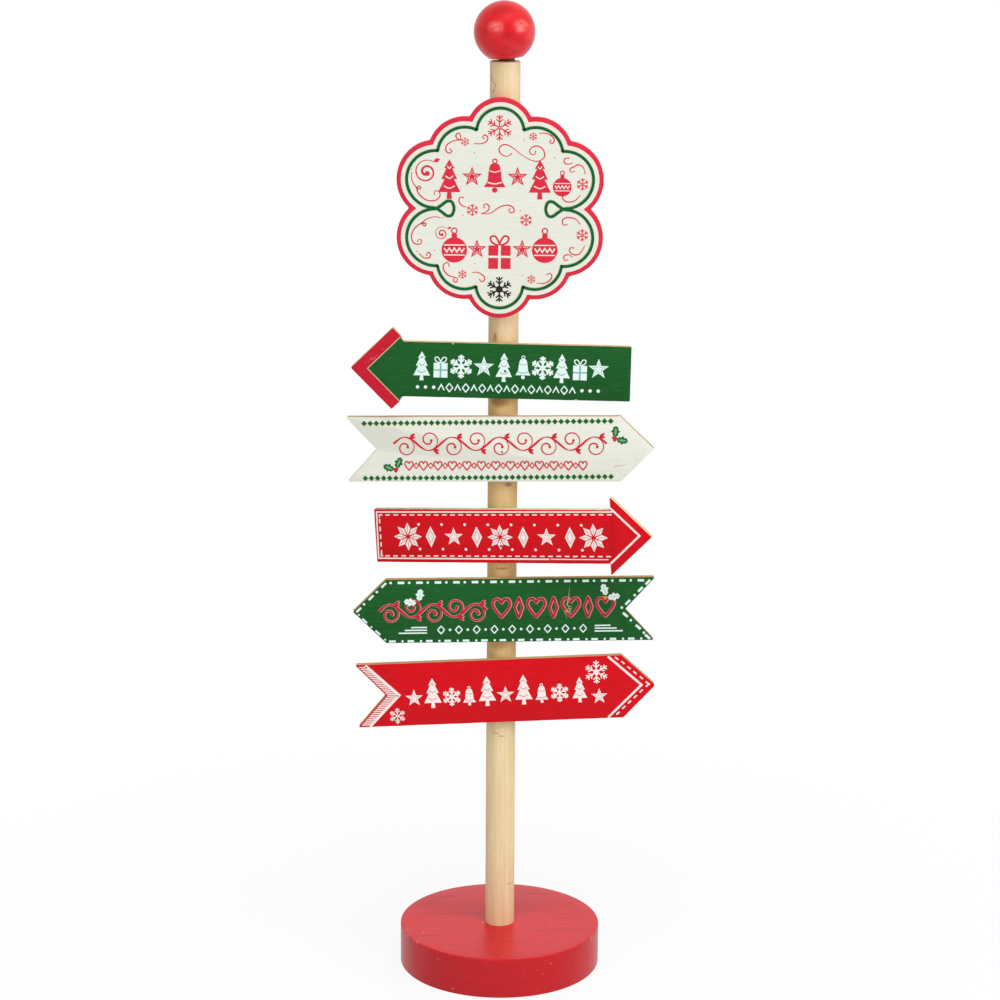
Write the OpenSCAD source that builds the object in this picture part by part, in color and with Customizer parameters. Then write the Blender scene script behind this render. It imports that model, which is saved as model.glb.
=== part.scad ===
// Christmas signpost: a round wooden post in a painted foot, with a ball on top,
// a lobed plaque and five direction boards nailed to the post's front.
// Millimetres, +Z up, front towards -Y. The origin is the middle of the foot's underside.

/* [Foot] */
// Diameter of the round foot
foot_d = 130.5; // [110:0.5:160]
// Thickness of the foot
foot_t = 26.5; // [24:0.5:32]
// Rounding of the foot's upper and lower rim
foot_rim_r = 1; // [0.5:0.25:2]
// Depth of the blind socket that takes the post
socket_depth = 15; // [12:1:18]

/* [Post] */
// Diameter of the post
post_d = 19; // [18:0.5:22]
// Height of the post's top end above the floor
post_top = 591; // [580:1:640]

/* [Ball] */
// Diameter of the ball on top
ball_d = 38; // [34:1:44]
// Width of the flat on the ball's underside
ball_flat_d = 21; // [18:1:24]
// How far the ball leans to the left on its pin, in degrees
ball_lean = 4.8; // [0:0.2:6]
// Gap between the post and the ball, along the pin
ball_gap = 2.1; // [1.5:0.1:4]
// How far the pin stands off the middle of the post's end
pin_offset = 0.9; // [0:0.1:1.2]
// Diameter of the dowel pin
pin_d = 10; // [8:0.5:11]
// Depth of the pin in the post
pin_in_post = 12; // [8:1:16]
// Depth of the pin in the ball
pin_in_ball = 14; // [8:1:20]

/* [Board stock] */
// Thickness of the boards and the plaque
board_t = 5; // [4:0.5:8]
// Rounding of a sawn board corner
corner_r = 0.6; // [0.2:0.1:1]
// Rounding of the worn corners of the lowest board
worn_corner_r = 1.6; // [0.4:0.2:2.4]

/* [Plaque] */
// Height of the plaque's middle above the floor
plaque_z = 501.5; // [495:0.5:510]
// How far its middle is set to the left of the post
plaque_offset = 2.7; // [0:0.1:6]
// Distance of the top and bottom lobes from the middle
top_lobe_y = 47.5; // [46:0.5:50]
// Radius of the top and bottom lobes
top_lobe_r = 20.9; // [19:0.1:22]
// Sideways distance of the corner lobes
corner_lobe_x = 21.8; // [20:0.2:24]
// Height of the corner lobes over the middle
corner_lobe_y = 33.5; // [32:0.5:35]
// Radius of the corner lobes
corner_lobe_r = 23.1; // [22:0.1:24]
// Sideways distance of the side lobes
side_lobe_x = 39.8; // [38:0.2:42]
// Height of the side lobes over the middle
side_lobe_y = 18; // [17:0.5:19]
// Radius of the side lobes
side_lobe_r = 24.1; // [23:0.1:25]
// Radius in the notches between lobes
notch_r = 1.6; // [0.8:0.2:2.4]

/* [Arrow boards] */
// Width of the plain part of an arrow board
shaft_h = 35; // [32:0.5:38]
// Half the width of an arrow's head, which is also the length of its slope
head_h = 26; // [24:0.5:28]
// Length of the square cut at the end of the chevron head's arms
arm_cut = 7.3; // [6:0.1:8]
// Rounding of the green arrow's hollow corners behind its head
shoulder_r = 2.2; // [0.4:0.2:2.4]
// Height of the green arrow board's middle above the floor
green_arrow_z = 399.2; // [396:0.2:402]
// Reach of the green arrow board from the post to its tip, on the left
green_arrow_tip = 95.5; // [88:0.5:105]
// Reach of the green arrow board to its square end
green_arrow_end = 79.9; // [70:0.5:90]
// Height of the red arrow board's middle above the floor
red_arrow_z = 292.4; // [290:0.2:295]
// Reach of the red arrow board from the post to its tip, on the right
red_arrow_tip = 99.8; // [90:0.5:110]
// Reach of the red arrow board to its square end
red_arrow_end = 80.1; // [70:0.5:90]
// How far the lower arm of the red arrow's head is set back from the upper one
red_arrow_skew = 1.3; // [0:0.1:2]

/* [Pennant boards] */
// Width of a pennant board
pennant_h = 42; // [39:0.5:44]
// Length of a pennant's point
pennant_point = 21.2; // [18:0.2:26]
// Depth of the swallowtail notch
pennant_notch = 19; // [14:0.5:24]
// Height of the white pennant board's middle above the floor
white_pennant_z = 349.2; // [347:0.2:351]
// Reach of the white pennant board from the post to its tip, on the right
white_pennant_tip = 96.3; // [88:0.5:105]
// Reach of the white pennant board to its tail
white_pennant_tail = 98; // [88:0.5:105]
// Height of the green pennant board's middle above the floor
green_pennant_z = 243.7; // [241:0.2:246]
// Reach of the green pennant board from the post to its tip, on the left
green_pennant_tip = 95.6; // [88:0.5:105]
// Reach of the green pennant board to its tail
green_pennant_tail = 97.5; // [88:0.5:105]
// Height of the red pennant board's middle above the floor
red_pennant_z = 189.8; // [186:0.2:192]
// Reach of the red pennant board from the post to its tip, on the right
red_pennant_tip = 99.3; // [88:0.5:105]
// Reach of the red pennant board to its tail
red_pennant_tail = 93.1; // [88:0.5:105]

/* [Nails and screw] */
// Diameter of a nail's shank
nail_d = 1.1; // [1:0.1:1.4]
// Diameter of a nail's head, which lies flush in the board
nail_head_d = 1.6; // [1.5:0.1:2.4]
// Thickness of a nail's head
nail_head_t = 0.5; // [0.4:0.1:0.8]
// Length of a nail
nail_l = 18; // [16:1:20]
// Diameter of the wood screw under the foot
screw_d = 4; // [3.5:0.25:5]
// Diameter of the screw's countersunk head
screw_head_d = 8; // [7.5:0.25:9]
// How deep the head lies above the foot's underside
screw_sink = 1; // [0.5:0.25:2]
// Length of the screw
screw_l = 36; // [32:1:45]

/* [Hidden] */
$fn = 96;

post_r = post_d / 2;
post_bottom = foot_t - socket_depth;
screw_head_t = (screw_head_d - screw_d) / 2;
ball_drop = sqrt(pow(ball_d / 2, 2) - pow(ball_flat_d / 2, 2));
over = 1;

// How each board hangs on its nail: height of its middle, roll with the right end up,
// turn round the post with the right end forward, and where its nail goes in, from its middle.
PLAQUE = [plaque_z, 0, 0, [-2.8, -50.5]];
GREEN_ARROW = [green_arrow_z, -1, 0, [1.1, 0.2]];
WHITE_PENNANT = [white_pennant_z, 1.4, 4, [0.6, -1.7]];
RED_ARROW = [red_arrow_z, 3.4, 13, [2.4, -6.3]];
GREEN_PENNANT = [green_pennant_z, 0.1, -3.4, [0.8, -8.6]];
RED_PENNANT = [red_pennant_z, 2.7, 0, [-0.6, -3.5]];
BOARDS = [PLAQUE, GREEN_ARROW, WHITE_PENNANT, RED_ARROW, GREEN_PENNANT, RED_PENNANT];

// The plaque's lobes in order round its rim, each as [middle x, middle y, radius]
LOBES = [for (side = [1, -1]) each [
    [0, side * top_lobe_y, top_lobe_r],
    [side * corner_lobe_x, side * corner_lobe_y, corner_lobe_r],
    [side * side_lobe_x, side * side_lobe_y, side_lobe_r],
    [side * side_lobe_x, -side * side_lobe_y, side_lobe_r],
    [side * corner_lobe_x, -side * corner_lobe_y, corner_lobe_r]]];

// A vector of length one
function unit(v) = v / norm(v);

// The rounded corner b between the outline points a and c, as an arc of radius r
function eased(a, b, c, r, steps = 4) =
    let (u = unit(a - b), v = unit(c - b), half = acos(u * v) / 2,
         middle = b + unit(u + v) * r / sin(half),
         from = b + u * r / tan(half) - middle, to = b + v * r / tan(half) - middle,
         sweep = atan2(cross(from, to), from * to))
    [for (i = [0 : steps]) let (t = sweep * i / steps)
        middle + [from.x * cos(t) - from.y * sin(t), from.x * sin(t) + from.y * cos(t)]];

// An outline with its corners rounded to radius r, or to hollow_r where they are hollow and it is given
function softened(points, r, hollow_r = 0) =
    let (n = len(points))
    [for (i = [0 : n - 1])
        let (a = points[(i + n - 1) % n], b = points[i], c = points[(i + 1) % n],
             hollow = cross(b - a, c - b) < 0)
        each eased(a, b, c, hollow && hollow_r > 0 ? hollow_r : r)];

// An outline given by its upper half from tip to end, completed below the middle line
function both_halves(upper) =
    concat(upper, [for (i = [len(upper) - 1 : -1 : 0]) if (upper[i].y > 0) [upper[i].x, -upper[i].y]]);

// A pennant that points right: a point at one end and a swallowtail at the other
function pennant(tip, tail) =
    both_halves([[tip, 0], [tip - pennant_point, pennant_h / 2], [-tail, pennant_h / 2],
                 [pennant_notch - tail, 0]]);

// An arrow that points right, with a head cut square behind, whose lower arm is set back by skew
function plain_arrow(tip, end, skew) =
    [[tip, 0], [tip - head_h, head_h], [tip - head_h, shaft_h / 2], [-end, shaft_h / 2], [-end, -shaft_h / 2],
     [tip - head_h - skew, -shaft_h / 2], [tip - head_h - skew, skew / 2 - head_h]];

// An arrow that points right, with a head like a chevron, whose arms end in a square cut
function chevron_arrow(tip, end) =
    let (cut = arm_cut / sqrt(2), arm = tip - head_h - cut)
    both_halves([[tip, 0], [tip - head_h, head_h], [arm, head_h - cut],
                 [arm - cut / 4, shaft_h / 2], [-end, shaft_h / 2]]);

// The middle of the circle of radius r that touches lobes a and b from outside, left of the way from a to b
function notch_middle(a, b, r) =
    let (way = [b.x - a.x, b.y - a.y], gap = norm(way), ra = a[2] + r, rb = b[2] + r,
         along = (gap * gap + ra * ra - rb * rb) / (2 * gap), across = sqrt(ra * ra - along * along))
    [a.x, a.y] + unit(way) * along + [-unit(way).y, unit(way).x] * across;

// Puts a shape drawn in a board's own plane, x along it, y up and z out of its face, on the post's front
module on_post(board) {
    rotate([0, 0, -board[2]]) translate([0, -post_r, board[0]]) rotate([90, 0, 0]) rotate([0, 0, board[1]])
        children();
}

// Puts a shape in the frame of the leaning pin, with its origin in the post's top end
module on_pin() {
    translate([pin_offset, 0, post_top]) rotate([0, -ball_lean, 0]) children();
}

// One nail, with its head flush in the board's face
module nail(board) {
    on_post(board) translate([board[3].x, board[3].y, board_t]) {
        translate([0, 0, -nail_head_t]) cylinder(d = nail_head_d, h = nail_head_t);
        translate([0, 0, -nail_l]) cylinder(d = nail_d, h = nail_l - nail_head_t);
    }
}

// The hole that a nail leaves in the board and the post
module nail_hole(board) {
    on_post(board) translate([board[3].x, board[3].y, board_t]) {
        translate([0, 0, -nail_head_t]) cylinder(d = nail_head_d, h = nail_head_t + over);
        translate([0, 0, -nail_l]) cylinder(d = nail_d, h = nail_l);
    }
}

// A board sawn to an outline, with its nail's hole
module sawn_board(board, outline) {
    difference() {
        on_post(board) linear_extrude(board_t) polygon(outline);
        nail_hole(board);
    }
}

// The wood screw along the post's axis, grown by a little for its head's clearance
module screw_shape(sink, head_clear) {
    translate([0, 0, sink]) {
        cylinder(d1 = screw_head_d + 2 * head_clear, d2 = screw_d, h = screw_head_t + head_clear);
        cylinder(d = screw_d, h = screw_l);
    }
}

module foot() {
    color("firebrick") difference() {
        rotate_extrude() {
            square([foot_d / 2 - foot_rim_r, foot_t]);
            translate([0, foot_rim_r]) square([foot_d / 2, foot_t - 2 * foot_rim_r]);
            for (y = [foot_rim_r, foot_t - foot_rim_r])
                translate([foot_d / 2 - foot_rim_r, y]) circle(r = foot_rim_r);
        }
        translate([0, 0, post_bottom]) cylinder(d = post_d, h = socket_depth + over);
        translate([0, 0, -over]) cylinder(d = screw_head_d, h = screw_sink + over);
        screw_shape(screw_sink, 0);
    }
}

module post() {
    color("burlywood") difference() {
        translate([0, 0, post_bottom]) cylinder(d = post_d, h = post_top - post_bottom);
        on_pin() translate([0, 0, -pin_in_post]) cylinder(d = pin_d, h = pin_in_post + over);
        screw_shape(screw_sink, 0);
        for (board = BOARDS) nail_hole(board);
    }
}

module finial_pin() {
    color("saddlebrown") on_pin() translate([0, 0, -pin_in_post])
        cylinder(d = pin_d, h = pin_in_post + ball_gap + pin_in_ball);
}

module finial_ball() {
    color("crimson") on_pin() difference() {
        translate([0, 0, ball_gap + ball_drop]) sphere(d = ball_d);
        translate([0, 0, ball_gap - ball_d]) cylinder(d = 2 * ball_d, h = ball_d);
        translate([0, 0, ball_gap - over]) cylinder(d = pin_d, h = pin_in_ball + over);
    }
}

// The plaque before drilling: the ten lobes, what lies between them, and a fillet in each notch
module plaque_blank() {
    n = len(LOBES);
    linear_extrude(board_t) polygon([for (lobe = LOBES) [lobe.x, lobe.y]]);
    for (lobe = LOBES) translate([lobe.x, lobe.y]) cylinder(r = lobe[2], h = board_t);
    for (i = [0 : n - 1]) {
        a = LOBES[i];
        b = LOBES[(i + 1) % n];
        middle = notch_middle(a, b, notch_r);
        difference() {
            linear_extrude(board_t) polygon([[a.x, a.y], middle, [b.x, b.y]]);
            translate([middle.x, middle.y, -over]) cylinder(r = notch_r, h = board_t + 2 * over);
        }
    }
}

module plaque() {
    color("ivory") difference() {
        on_post(PLAQUE) translate([-plaque_offset, 0, 0]) plaque_blank();
        nail_hole(PLAQUE);
    }
}

// The same outline pointing left
function to_left(points) = [for (p = points) [-p.x, p.y]];

module green_arrow_board() {
    color("darkgreen")
        sawn_board(GREEN_ARROW, to_left(softened(chevron_arrow(green_arrow_tip, green_arrow_end),
                                              corner_r, shoulder_r)));
}

module white_pennant_board() {
    color("beige")
        sawn_board(WHITE_PENNANT, softened(pennant(white_pennant_tip, white_pennant_tail), corner_r));
}

module red_arrow_board() {
    color("red")
        sawn_board(RED_ARROW, softened(plain_arrow(red_arrow_tip, red_arrow_end, red_arrow_skew), corner_r));
}

module green_pennant_board() {
    color("green")
        sawn_board(GREEN_PENNANT, to_left(softened(pennant(green_pennant_tip, green_pennant_tail),
                                                corner_r)));
}

module red_pennant_board() {
    color("red")
        sawn_board(RED_PENNANT, softened(pennant(red_pennant_tip, red_pennant_tail), worn_corner_r));
}

module nails() {
    color("dimgray") for (board = BOARDS) nail(board);
}

module foot_screw() {
    slot_w = 1.2;
    slot_l = screw_head_d * 0.55;
    color("silver") difference() {
        screw_shape(screw_sink, 0);
        for (turn = [0, 90]) rotate([0, 0, turn])
            translate([-slot_l / 2, -slot_w / 2, screw_sink - over]) cube([slot_l, slot_w, over + 1.4]);
    }
}

foot();
post();
finial_pin();
finial_ball();
plaque();
green_arrow_board();
white_pennant_board();
red_arrow_board();
green_pennant_board();
red_pennant_board();
nails();
foot_screw();
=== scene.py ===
"""Looks of a wooden christmas signpost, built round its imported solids.

Lengths are millimetres until a mesh is made, and metres in the scene. A board and its print are drawn
in the board's own plane: x along the board, y up it and z out of its back face, at 0, to its front face.
"""

import bmesh
import bpy
import numpy as np
from mathutils import Matrix, Vector


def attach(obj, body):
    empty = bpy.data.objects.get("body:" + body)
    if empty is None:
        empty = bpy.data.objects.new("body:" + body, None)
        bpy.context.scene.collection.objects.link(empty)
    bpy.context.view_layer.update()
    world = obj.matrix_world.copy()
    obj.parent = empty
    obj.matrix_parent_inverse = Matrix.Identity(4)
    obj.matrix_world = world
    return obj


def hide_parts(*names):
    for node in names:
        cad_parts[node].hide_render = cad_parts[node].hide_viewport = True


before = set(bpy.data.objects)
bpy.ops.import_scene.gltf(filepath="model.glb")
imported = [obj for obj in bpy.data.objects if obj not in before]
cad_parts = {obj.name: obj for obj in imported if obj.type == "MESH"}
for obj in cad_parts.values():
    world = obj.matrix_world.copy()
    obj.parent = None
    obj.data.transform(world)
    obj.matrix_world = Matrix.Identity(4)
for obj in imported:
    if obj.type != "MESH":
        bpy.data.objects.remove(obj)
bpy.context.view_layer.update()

MM = 0.001
BOARD_T = 5.0
POST_R = 9.5
POST_TOP = 591.0
FOOT_R = 65.25
FOOT_T = 26.5
SOCKET_Z = 11.5
PLAQUE_X = -2.7
PIN_X = 0.9
PIN_LEAN = 4.8
EASE = 0.3  # how far sanding takes a board's edge in
INK_T = 0.05  # one layer of print above the face
INK_SUNK = 0.06  # how deep a plate of print starts in the face
SHARP = 35  # degrees, past which an edge is shaded sharp
CORNER_R = 0.6  # a board's corner
WORN_R = 1.6  # a worn corner, and a notch of the plaque
SHOULDER_R = 2.2  # inside the green arrow's shoulders

# Where each board hangs: height of its middle, roll with its right end up, turn with its right end
# forward, and its nail's place from its middle
HANG = {
    "plaque": (501.5, 0.0, 0.0, (-2.8, -50.5)),
    "green_arrow": (399.2, -1.0, 0.0, (1.1, 0.2)),
    "white_pennant": (349.2, 1.4, 4.0, (0.6, -1.7)),
    "red_arrow": (292.4, 3.4, 13.0, (2.4, -6.3)),
    "green_pennant": (243.7, 0.1, -3.4, (0.8, -8.6)),
    "red_pennant": (189.8, 2.7, 0.0, (-0.6, -3.5)),
}
# The record's material slot of each board
SLOTS = {
    "plaque": "plaque_board",
    "green_arrow": "green_board",
    "white_pennant": "white_board",
    "red_arrow": "red_board",
    "green_pennant": "green_board",
    "red_pennant": "red_board",
}


# Surfaces

def on_post(board, points):
    """Board-plane points on the post: rolled in the plane, stood off the post, then turned round it."""
    height, roll, turn, _ = HANG[board]
    roll, turn = np.radians(roll), np.radians(turn)
    x, y, z = points[..., 0], points[..., 1], points[..., 2]
    along = x * np.cos(roll) - y * np.sin(roll)
    up = x * np.sin(roll) + y * np.cos(roll) + height
    out = -POST_R - z
    return np.stack([along * np.cos(turn) + out * np.sin(turn),
                     -along * np.sin(turn) + out * np.cos(turn), up], -1)


def round_post(points):
    """Points of the post's unrolled surface, x round it from its front and y its height, wrapped onto it."""
    turn, out = points[..., 0] / POST_R, POST_R - BOARD_T + points[..., 2]
    return np.stack([out * np.sin(turn), -out * np.cos(turn), points[..., 1]], -1)


def grid_faces(rows, columns, closed):
    """Quads of a grid whose columns close round; its rows close too when closed is true."""
    row = np.arange(rows if closed else rows - 1)[:, None]
    column = np.arange(columns)[None, :]
    here, there = row * columns, (row + 1) % rows * columns
    beside = (column + 1) % columns
    return np.stack([here + column, here + beside, there + beside, there + column], -1).reshape(-1, 4)


class Stock:
    """Closed shells gathered into one piece. Each is a stack of rings with a cap at both ends."""

    def __init__(self, board=None):
        self.board = board
        self.raw, self.placed, self.faces, self.tones = [], [], [], []
        self.count = 0

    def add(self, rings, tones=0, caps=(0, 0), closed=False, place=None):
        """Adds rings, an array of rows, columns and xyz. tones is each quad's material, caps both ends'."""
        rows, columns = rings.shape[:2]
        flat = rings.reshape(-1, 3)
        self.raw.append(flat)
        if self.board and not place:
            flat = round_post(flat) if self.board == "post" else on_post(self.board, flat)
        self.placed.append(place(flat) if place else flat)
        quads = grid_faces(rows, columns, closed)
        self.faces += (quads + self.count).tolist()
        self.tones += np.broadcast_to(tones, (len(quads) // columns, columns)).ravel().tolist()
        if not closed:
            first = np.arange(columns)[::-1] + self.count
            last = np.arange(columns) + self.count + (rows - 1) * columns
            self.faces += [first.tolist(), last.tolist()]
            self.tones += list(caps)
        self.count += len(flat)

    def piece(self, name, slot, materials, replaces=None):
        """Makes the object: metres in the mesh, the drawn millimetres in the attribute stock."""
        mesh = bpy.data.meshes.new(name)
        mesh.from_pydata((np.concatenate(self.placed) * MM).tolist(), [], self.faces)
        drawn = mesh.attributes.new("stock", "FLOAT_VECTOR", "POINT")
        drawn.data.foreach_set("vector", np.concatenate(self.raw).ravel())
        for material in materials:
            mesh.materials.append(material)
        mesh.polygons.foreach_set("material_index", np.array(self.tones, dtype=np.int32))
        work = bmesh.new()
        work.from_mesh(mesh)
        bmesh.ops.recalc_face_normals(work, faces=work.faces)
        work.to_mesh(mesh)
        work.free()
        mesh.shade_smooth()
        mesh.set_sharp_from_angle(angle=np.radians(SHARP))
        made = bpy.data.objects.new(name, mesh)
        bpy.context.scene.collection.objects.link(made)
        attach(made, "root")
        if replaces:
            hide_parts(replaces)


def lathe(profile, columns, wobble=0.0, seed=0):
    """Rings of a turned piece: each profile point (radius, height) goes round z, with a slow wobble inwards.

    The wobble is the sum of three waves, with 2, 3 and 5 swings to a turn, which drift with the height.
    """
    profile = np.asarray(profile, float)
    turn = np.linspace(0, 2 * np.pi, columns, endpoint=False)[None, :]
    radius, height = profile[:, :1], profile[:, 1:]
    phase = np.random.default_rng(seed).uniform(0, 2 * np.pi, 3)
    waves = sum(np.cos(k * turn + height / s + p) for k, s, p in zip((2, 3, 5), (60, 37, 23), phase))
    radius = radius - wobble * (1 - waves / 3) / 2 * np.minimum(radius / radius.max(), 1)
    return np.stack([radius * np.cos(turn), radius * np.sin(turn), height + 0 * turn], -1)


def arc(x, y, radius, start, end, steps=16):
    """Points on a circle about (x, y) from the angle start to the angle end, in degrees."""
    turn = np.radians(np.linspace(start, end, steps))
    return np.column_stack([x + radius * np.cos(turn), y + radius * np.sin(turn)])


def curl(x, y, outer, inner, start, sweep, steps=28):
    """A spiral about (x, y) whose radius falls from outer to inner while it turns through sweep degrees."""
    share = np.linspace(0, 1, steps)
    radius = outer + (inner - outer) * share
    turn = np.radians(start + sweep * share)
    return np.column_stack([x + radius * np.cos(turn), y + radius * np.sin(turn)])


def flow(points, steps=8, closed=False):
    """A smooth line through given points: the Catmull-Rom cubic of each two and their neighbours."""
    p = np.asarray(points, float)
    p = np.vstack([p[-1:], p, p[:2]]) if closed else np.vstack([2 * p[0] - p[1], p, 2 * p[-1] - p[-2]])
    a, b, c, d = (p[i:len(p) - 3 + i, None] for i in range(4))
    t = np.linspace(0, 1, steps, endpoint=False)[None, :, None]
    line = (2 * b + (c - a) * t + (2 * a - 5 * b + 4 * c - d) * t ** 2 + (3 * b - a - 3 * c + d) * t ** 3) / 2
    line = line.reshape(-1, 2)
    return line if closed else np.vstack([line, p[-2]])


def softened(points, radius, hollow=None, steps=5):
    """An anticlockwise outline whose corners, b between a and c, become arcs that touch both sides.

    The arc has the radius given, or the radius hollow at an inner corner.
    """
    p = np.asarray(points, float)
    ahead, behind = np.roll(p, -1, 0) - p, p - np.roll(p, 1, 0)
    inner = behind[:, 0] * ahead[:, 1] - behind[:, 1] * ahead[:, 0] < 0
    radius = np.where(inner, hollow or radius, radius)
    to_a, to_c = np.roll(p, 1, 0) - p, np.roll(p, -1, 0) - p
    to_a /= np.linalg.norm(to_a, axis=1, keepdims=True)
    to_c /= np.linalg.norm(to_c, axis=1, keepdims=True)
    half = np.arccos((to_a * to_c).sum(1)) / 2
    inward = (to_a + to_c) / np.linalg.norm(to_a + to_c, axis=1, keepdims=True)
    middle = p + inward * (radius / np.sin(half))[:, None]
    start = p + to_a * (radius / np.tan(half))[:, None] - middle
    end = p + to_c * (radius / np.tan(half))[:, None] - middle
    sweep = np.arctan2(start[:, 0] * end[:, 1] - start[:, 1] * end[:, 0], (start * end).sum(1))
    turn = sweep[:, None] * np.linspace(0, 1, steps)[None, :]
    x = start[:, :1] * np.cos(turn) - start[:, 1:] * np.sin(turn)
    y = start[:, :1] * np.sin(turn) + start[:, 1:] * np.cos(turn)
    return (middle[:, None] + np.stack([x, y], -1)).reshape(-1, 2)


def resampled(outline, step):
    """The closed outline with extra points along its straight stretches, every step."""
    ring = np.vstack([outline, outline[:1]])
    way = np.concatenate([[0], np.cumsum(np.linalg.norm(np.diff(ring, axis=0), axis=1))])
    regular = np.arange(0, way[-1], step)
    near = np.abs(regular[:, None] - way[None, :]).min(1)
    stops = np.sort(np.concatenate([way[:-1], regular[near > 0.3 * step]]))
    return np.column_stack([np.interp(stops, way, ring[:, 0]), np.interp(stops, way, ring[:, 1])])


def normals(outline):
    """Unit normals of a closed outline that point into it."""
    ahead = np.roll(outline, -1, 0) - np.roll(outline, 1, 0)
    ahead /= np.linalg.norm(ahead, axis=1, keepdims=True)
    area = (outline[:, 0] * np.roll(outline[:, 1], -1) - outline[:, 1] * np.roll(outline[:, 0], -1)).sum()
    return np.column_stack([-ahead[:, 1], ahead[:, 0]]) * np.sign(area)


def sawn(outline, depth, seed):
    """A saw's slightly wavering cut: the outline moved inwards by up to depth, by three waves along it."""
    line = resampled(outline, 3.0)
    way = np.cumsum(np.linalg.norm(line - np.roll(line, 1, 0), axis=1))
    phase = np.random.default_rng(seed).uniform(0, 2 * np.pi, 3)
    laps = np.round(way[-1] / np.array([47.0, 21.0, 9.0]))
    waves = np.cos(2 * np.pi * way[:, None] / way[-1] * laps + phase).mean(1)
    return line + normals(line) * (depth * (0.5 + 0.5 * waves))[:, None]


def board_rings(outline):
    """A sawn board's rings from back to front, drawn in a little towards both faces, as sanding leaves it."""
    inward = normals(outline)
    ease = [(0, 1), (0.3, 0.3), (1, 0)]
    levels = [(d * EASE, e * EASE) for d, e in ease] + [(BOARD_T - d * EASE, e * EASE) for d, e in ease[::-1]]
    return np.stack([np.column_stack([outline + inward * e, np.full(len(outline), z)]) for z, e in levels])


# Outlines of the boards, from the driving sizes of the solids

def both_halves(upper):
    """An outline from its upper half, tip to end, completed below the middle line."""
    return upper + [(x, -y) for x, y in upper[::-1] if y > 0]


def pennant(tip, tail, height=42.0, point=21.2, notch=19.0):
    """A point at the right end and a swallowtail at the left."""
    return both_halves([(tip, 0), (tip - point, height / 2), (-tail, height / 2), (notch - tail, 0)])


def chevron_arrow(tip, end, head=26.0, shaft=17.5, cut=5.16):
    """An arrow to the right whose head is a chevron, with a square cut at the end of both arms."""
    arm = tip - head - cut
    upper = [(tip, 0), (tip - head, head), (arm, head - cut), (arm - cut / 4, shaft), (-end, shaft)]
    return both_halves(upper)


def plain_arrow(tip, end, head=26.0, shaft=17.5, skew=1.3):
    """An arrow to the right with a head cut square behind. Its lower arm is set back by skew."""
    back = tip - head - skew
    return [(tip, 0), (tip - head, head), (tip - head, shaft), (-end, shaft), (-end, -shaft), (back, -shaft),
            (back, skew / 2 - head)]


def mirrored(points):
    """The same outline pointing left."""
    return [(-x, y) for x, y in points]


def lobes():
    """The plaque's ten lobes, clockwise from the top: middle x, middle y, radius."""
    half = [(0.0, 47.5, 20.9), (21.8, 33.5, 23.1), (39.8, 18.0, 24.1), (39.8, -18.0, 24.1),
            (21.8, -33.5, 23.1)]
    return [(x + PLAQUE_X, y, r) for x, y, r in half] + [(PLAQUE_X - x, -y, r) for x, y, r in half]


def notch(a, b, inset, fillet):
    """The middle of the circle of radius fillet that touches lobes a and b, shrunk by inset, from outside.

    It lies where circles about both lobes, wider than them by fillet, cross. None if they lie apart.
    """
    way = np.array(b[:2]) - np.array(a[:2])
    gap = np.linalg.norm(way)
    ra, rb = a[2] - inset + fillet, b[2] - inset + fillet
    along = (gap * gap + ra * ra - rb * rb) / (2 * gap)
    if ra < along:
        return None
    across = (ra * ra - along * along) ** 0.5
    way /= gap
    return np.array(a[:2]) + way * along + np.array([-way[1], way[0]]) * across


def angle_to(middle, point):
    """The direction from middle to point, in degrees."""
    return np.degrees(np.arctan2(point[1] - middle[1], point[0] - middle[0]))


def lobed(inset, fillet):
    """The plaque's outline drawn in by inset: an arc of each lobe, and a fillet or a cusp in each notch."""
    ring, line = lobes(), []
    for i, lobe in enumerate(ring):
        before = notch(ring[i - 1], lobe, inset, fillet)
        after = notch(lobe, ring[(i + 1) % 10], inset, fillet)
        start, end = angle_to(lobe, before), angle_to(lobe, after)
        line.append(arc(*lobe[:2], lobe[2] - inset, start, end - 360 * (end > start), 22))
        if fillet:
            following = ring[(i + 1) % 10]
            start, end = angle_to(after, lobe), angle_to(after, following)
            line.append(arc(*after, fillet, start, end + 360 * (end < start), 7)[1:-1])
    return np.vstack(line)


def looped_lines(inset):
    """The thin line inside the rim: an arc of each lobe with cusps between, and a drop-shaped loop each side.

    A loop comes in two runs, so that no run crosses itself.
    """
    ring, runs = lobes(), []
    for first, side in ((8, -1), (3, 1)):
        line = []
        for i in range(first, first + 5):
            lobe = ring[i % 10]
            before = notch(ring[i % 10 - 1], lobe, inset, 0)
            after = notch(lobe, ring[(i + 1) % 10], inset, 0)
            start = angle_to(lobe, before) if before is not None else side * 90 - 8
            end = angle_to(lobe, after) if after is not None else side * 90 + 8
            line.append(arc(*lobe[:2], lobe[2] - inset, start, end - 360 * (end > start), 24))
        runs.append(np.vstack(line))
    for x, side in ((ring[2][0], 1), (ring[7][0], -1)):
        drop = [(-2.5, 0.55), (0.5, 0), (3.6, -1.9), (7.2, -4.5), (10.2, -4.0), (11.5, 0), (10.2, 4.0),
                (7.2, 4.5), (3.6, 1.9), (0.5, 0), (-2.5, -0.55)]
        loop = flow([(x - side * a, side * b) for a, b in drop])
        runs += [loop[:41], loop[40:]]
    return runs


# Print: thin closed plates of ink that stand a little above the face

TWIG_LEAN = np.radians(48)


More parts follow.
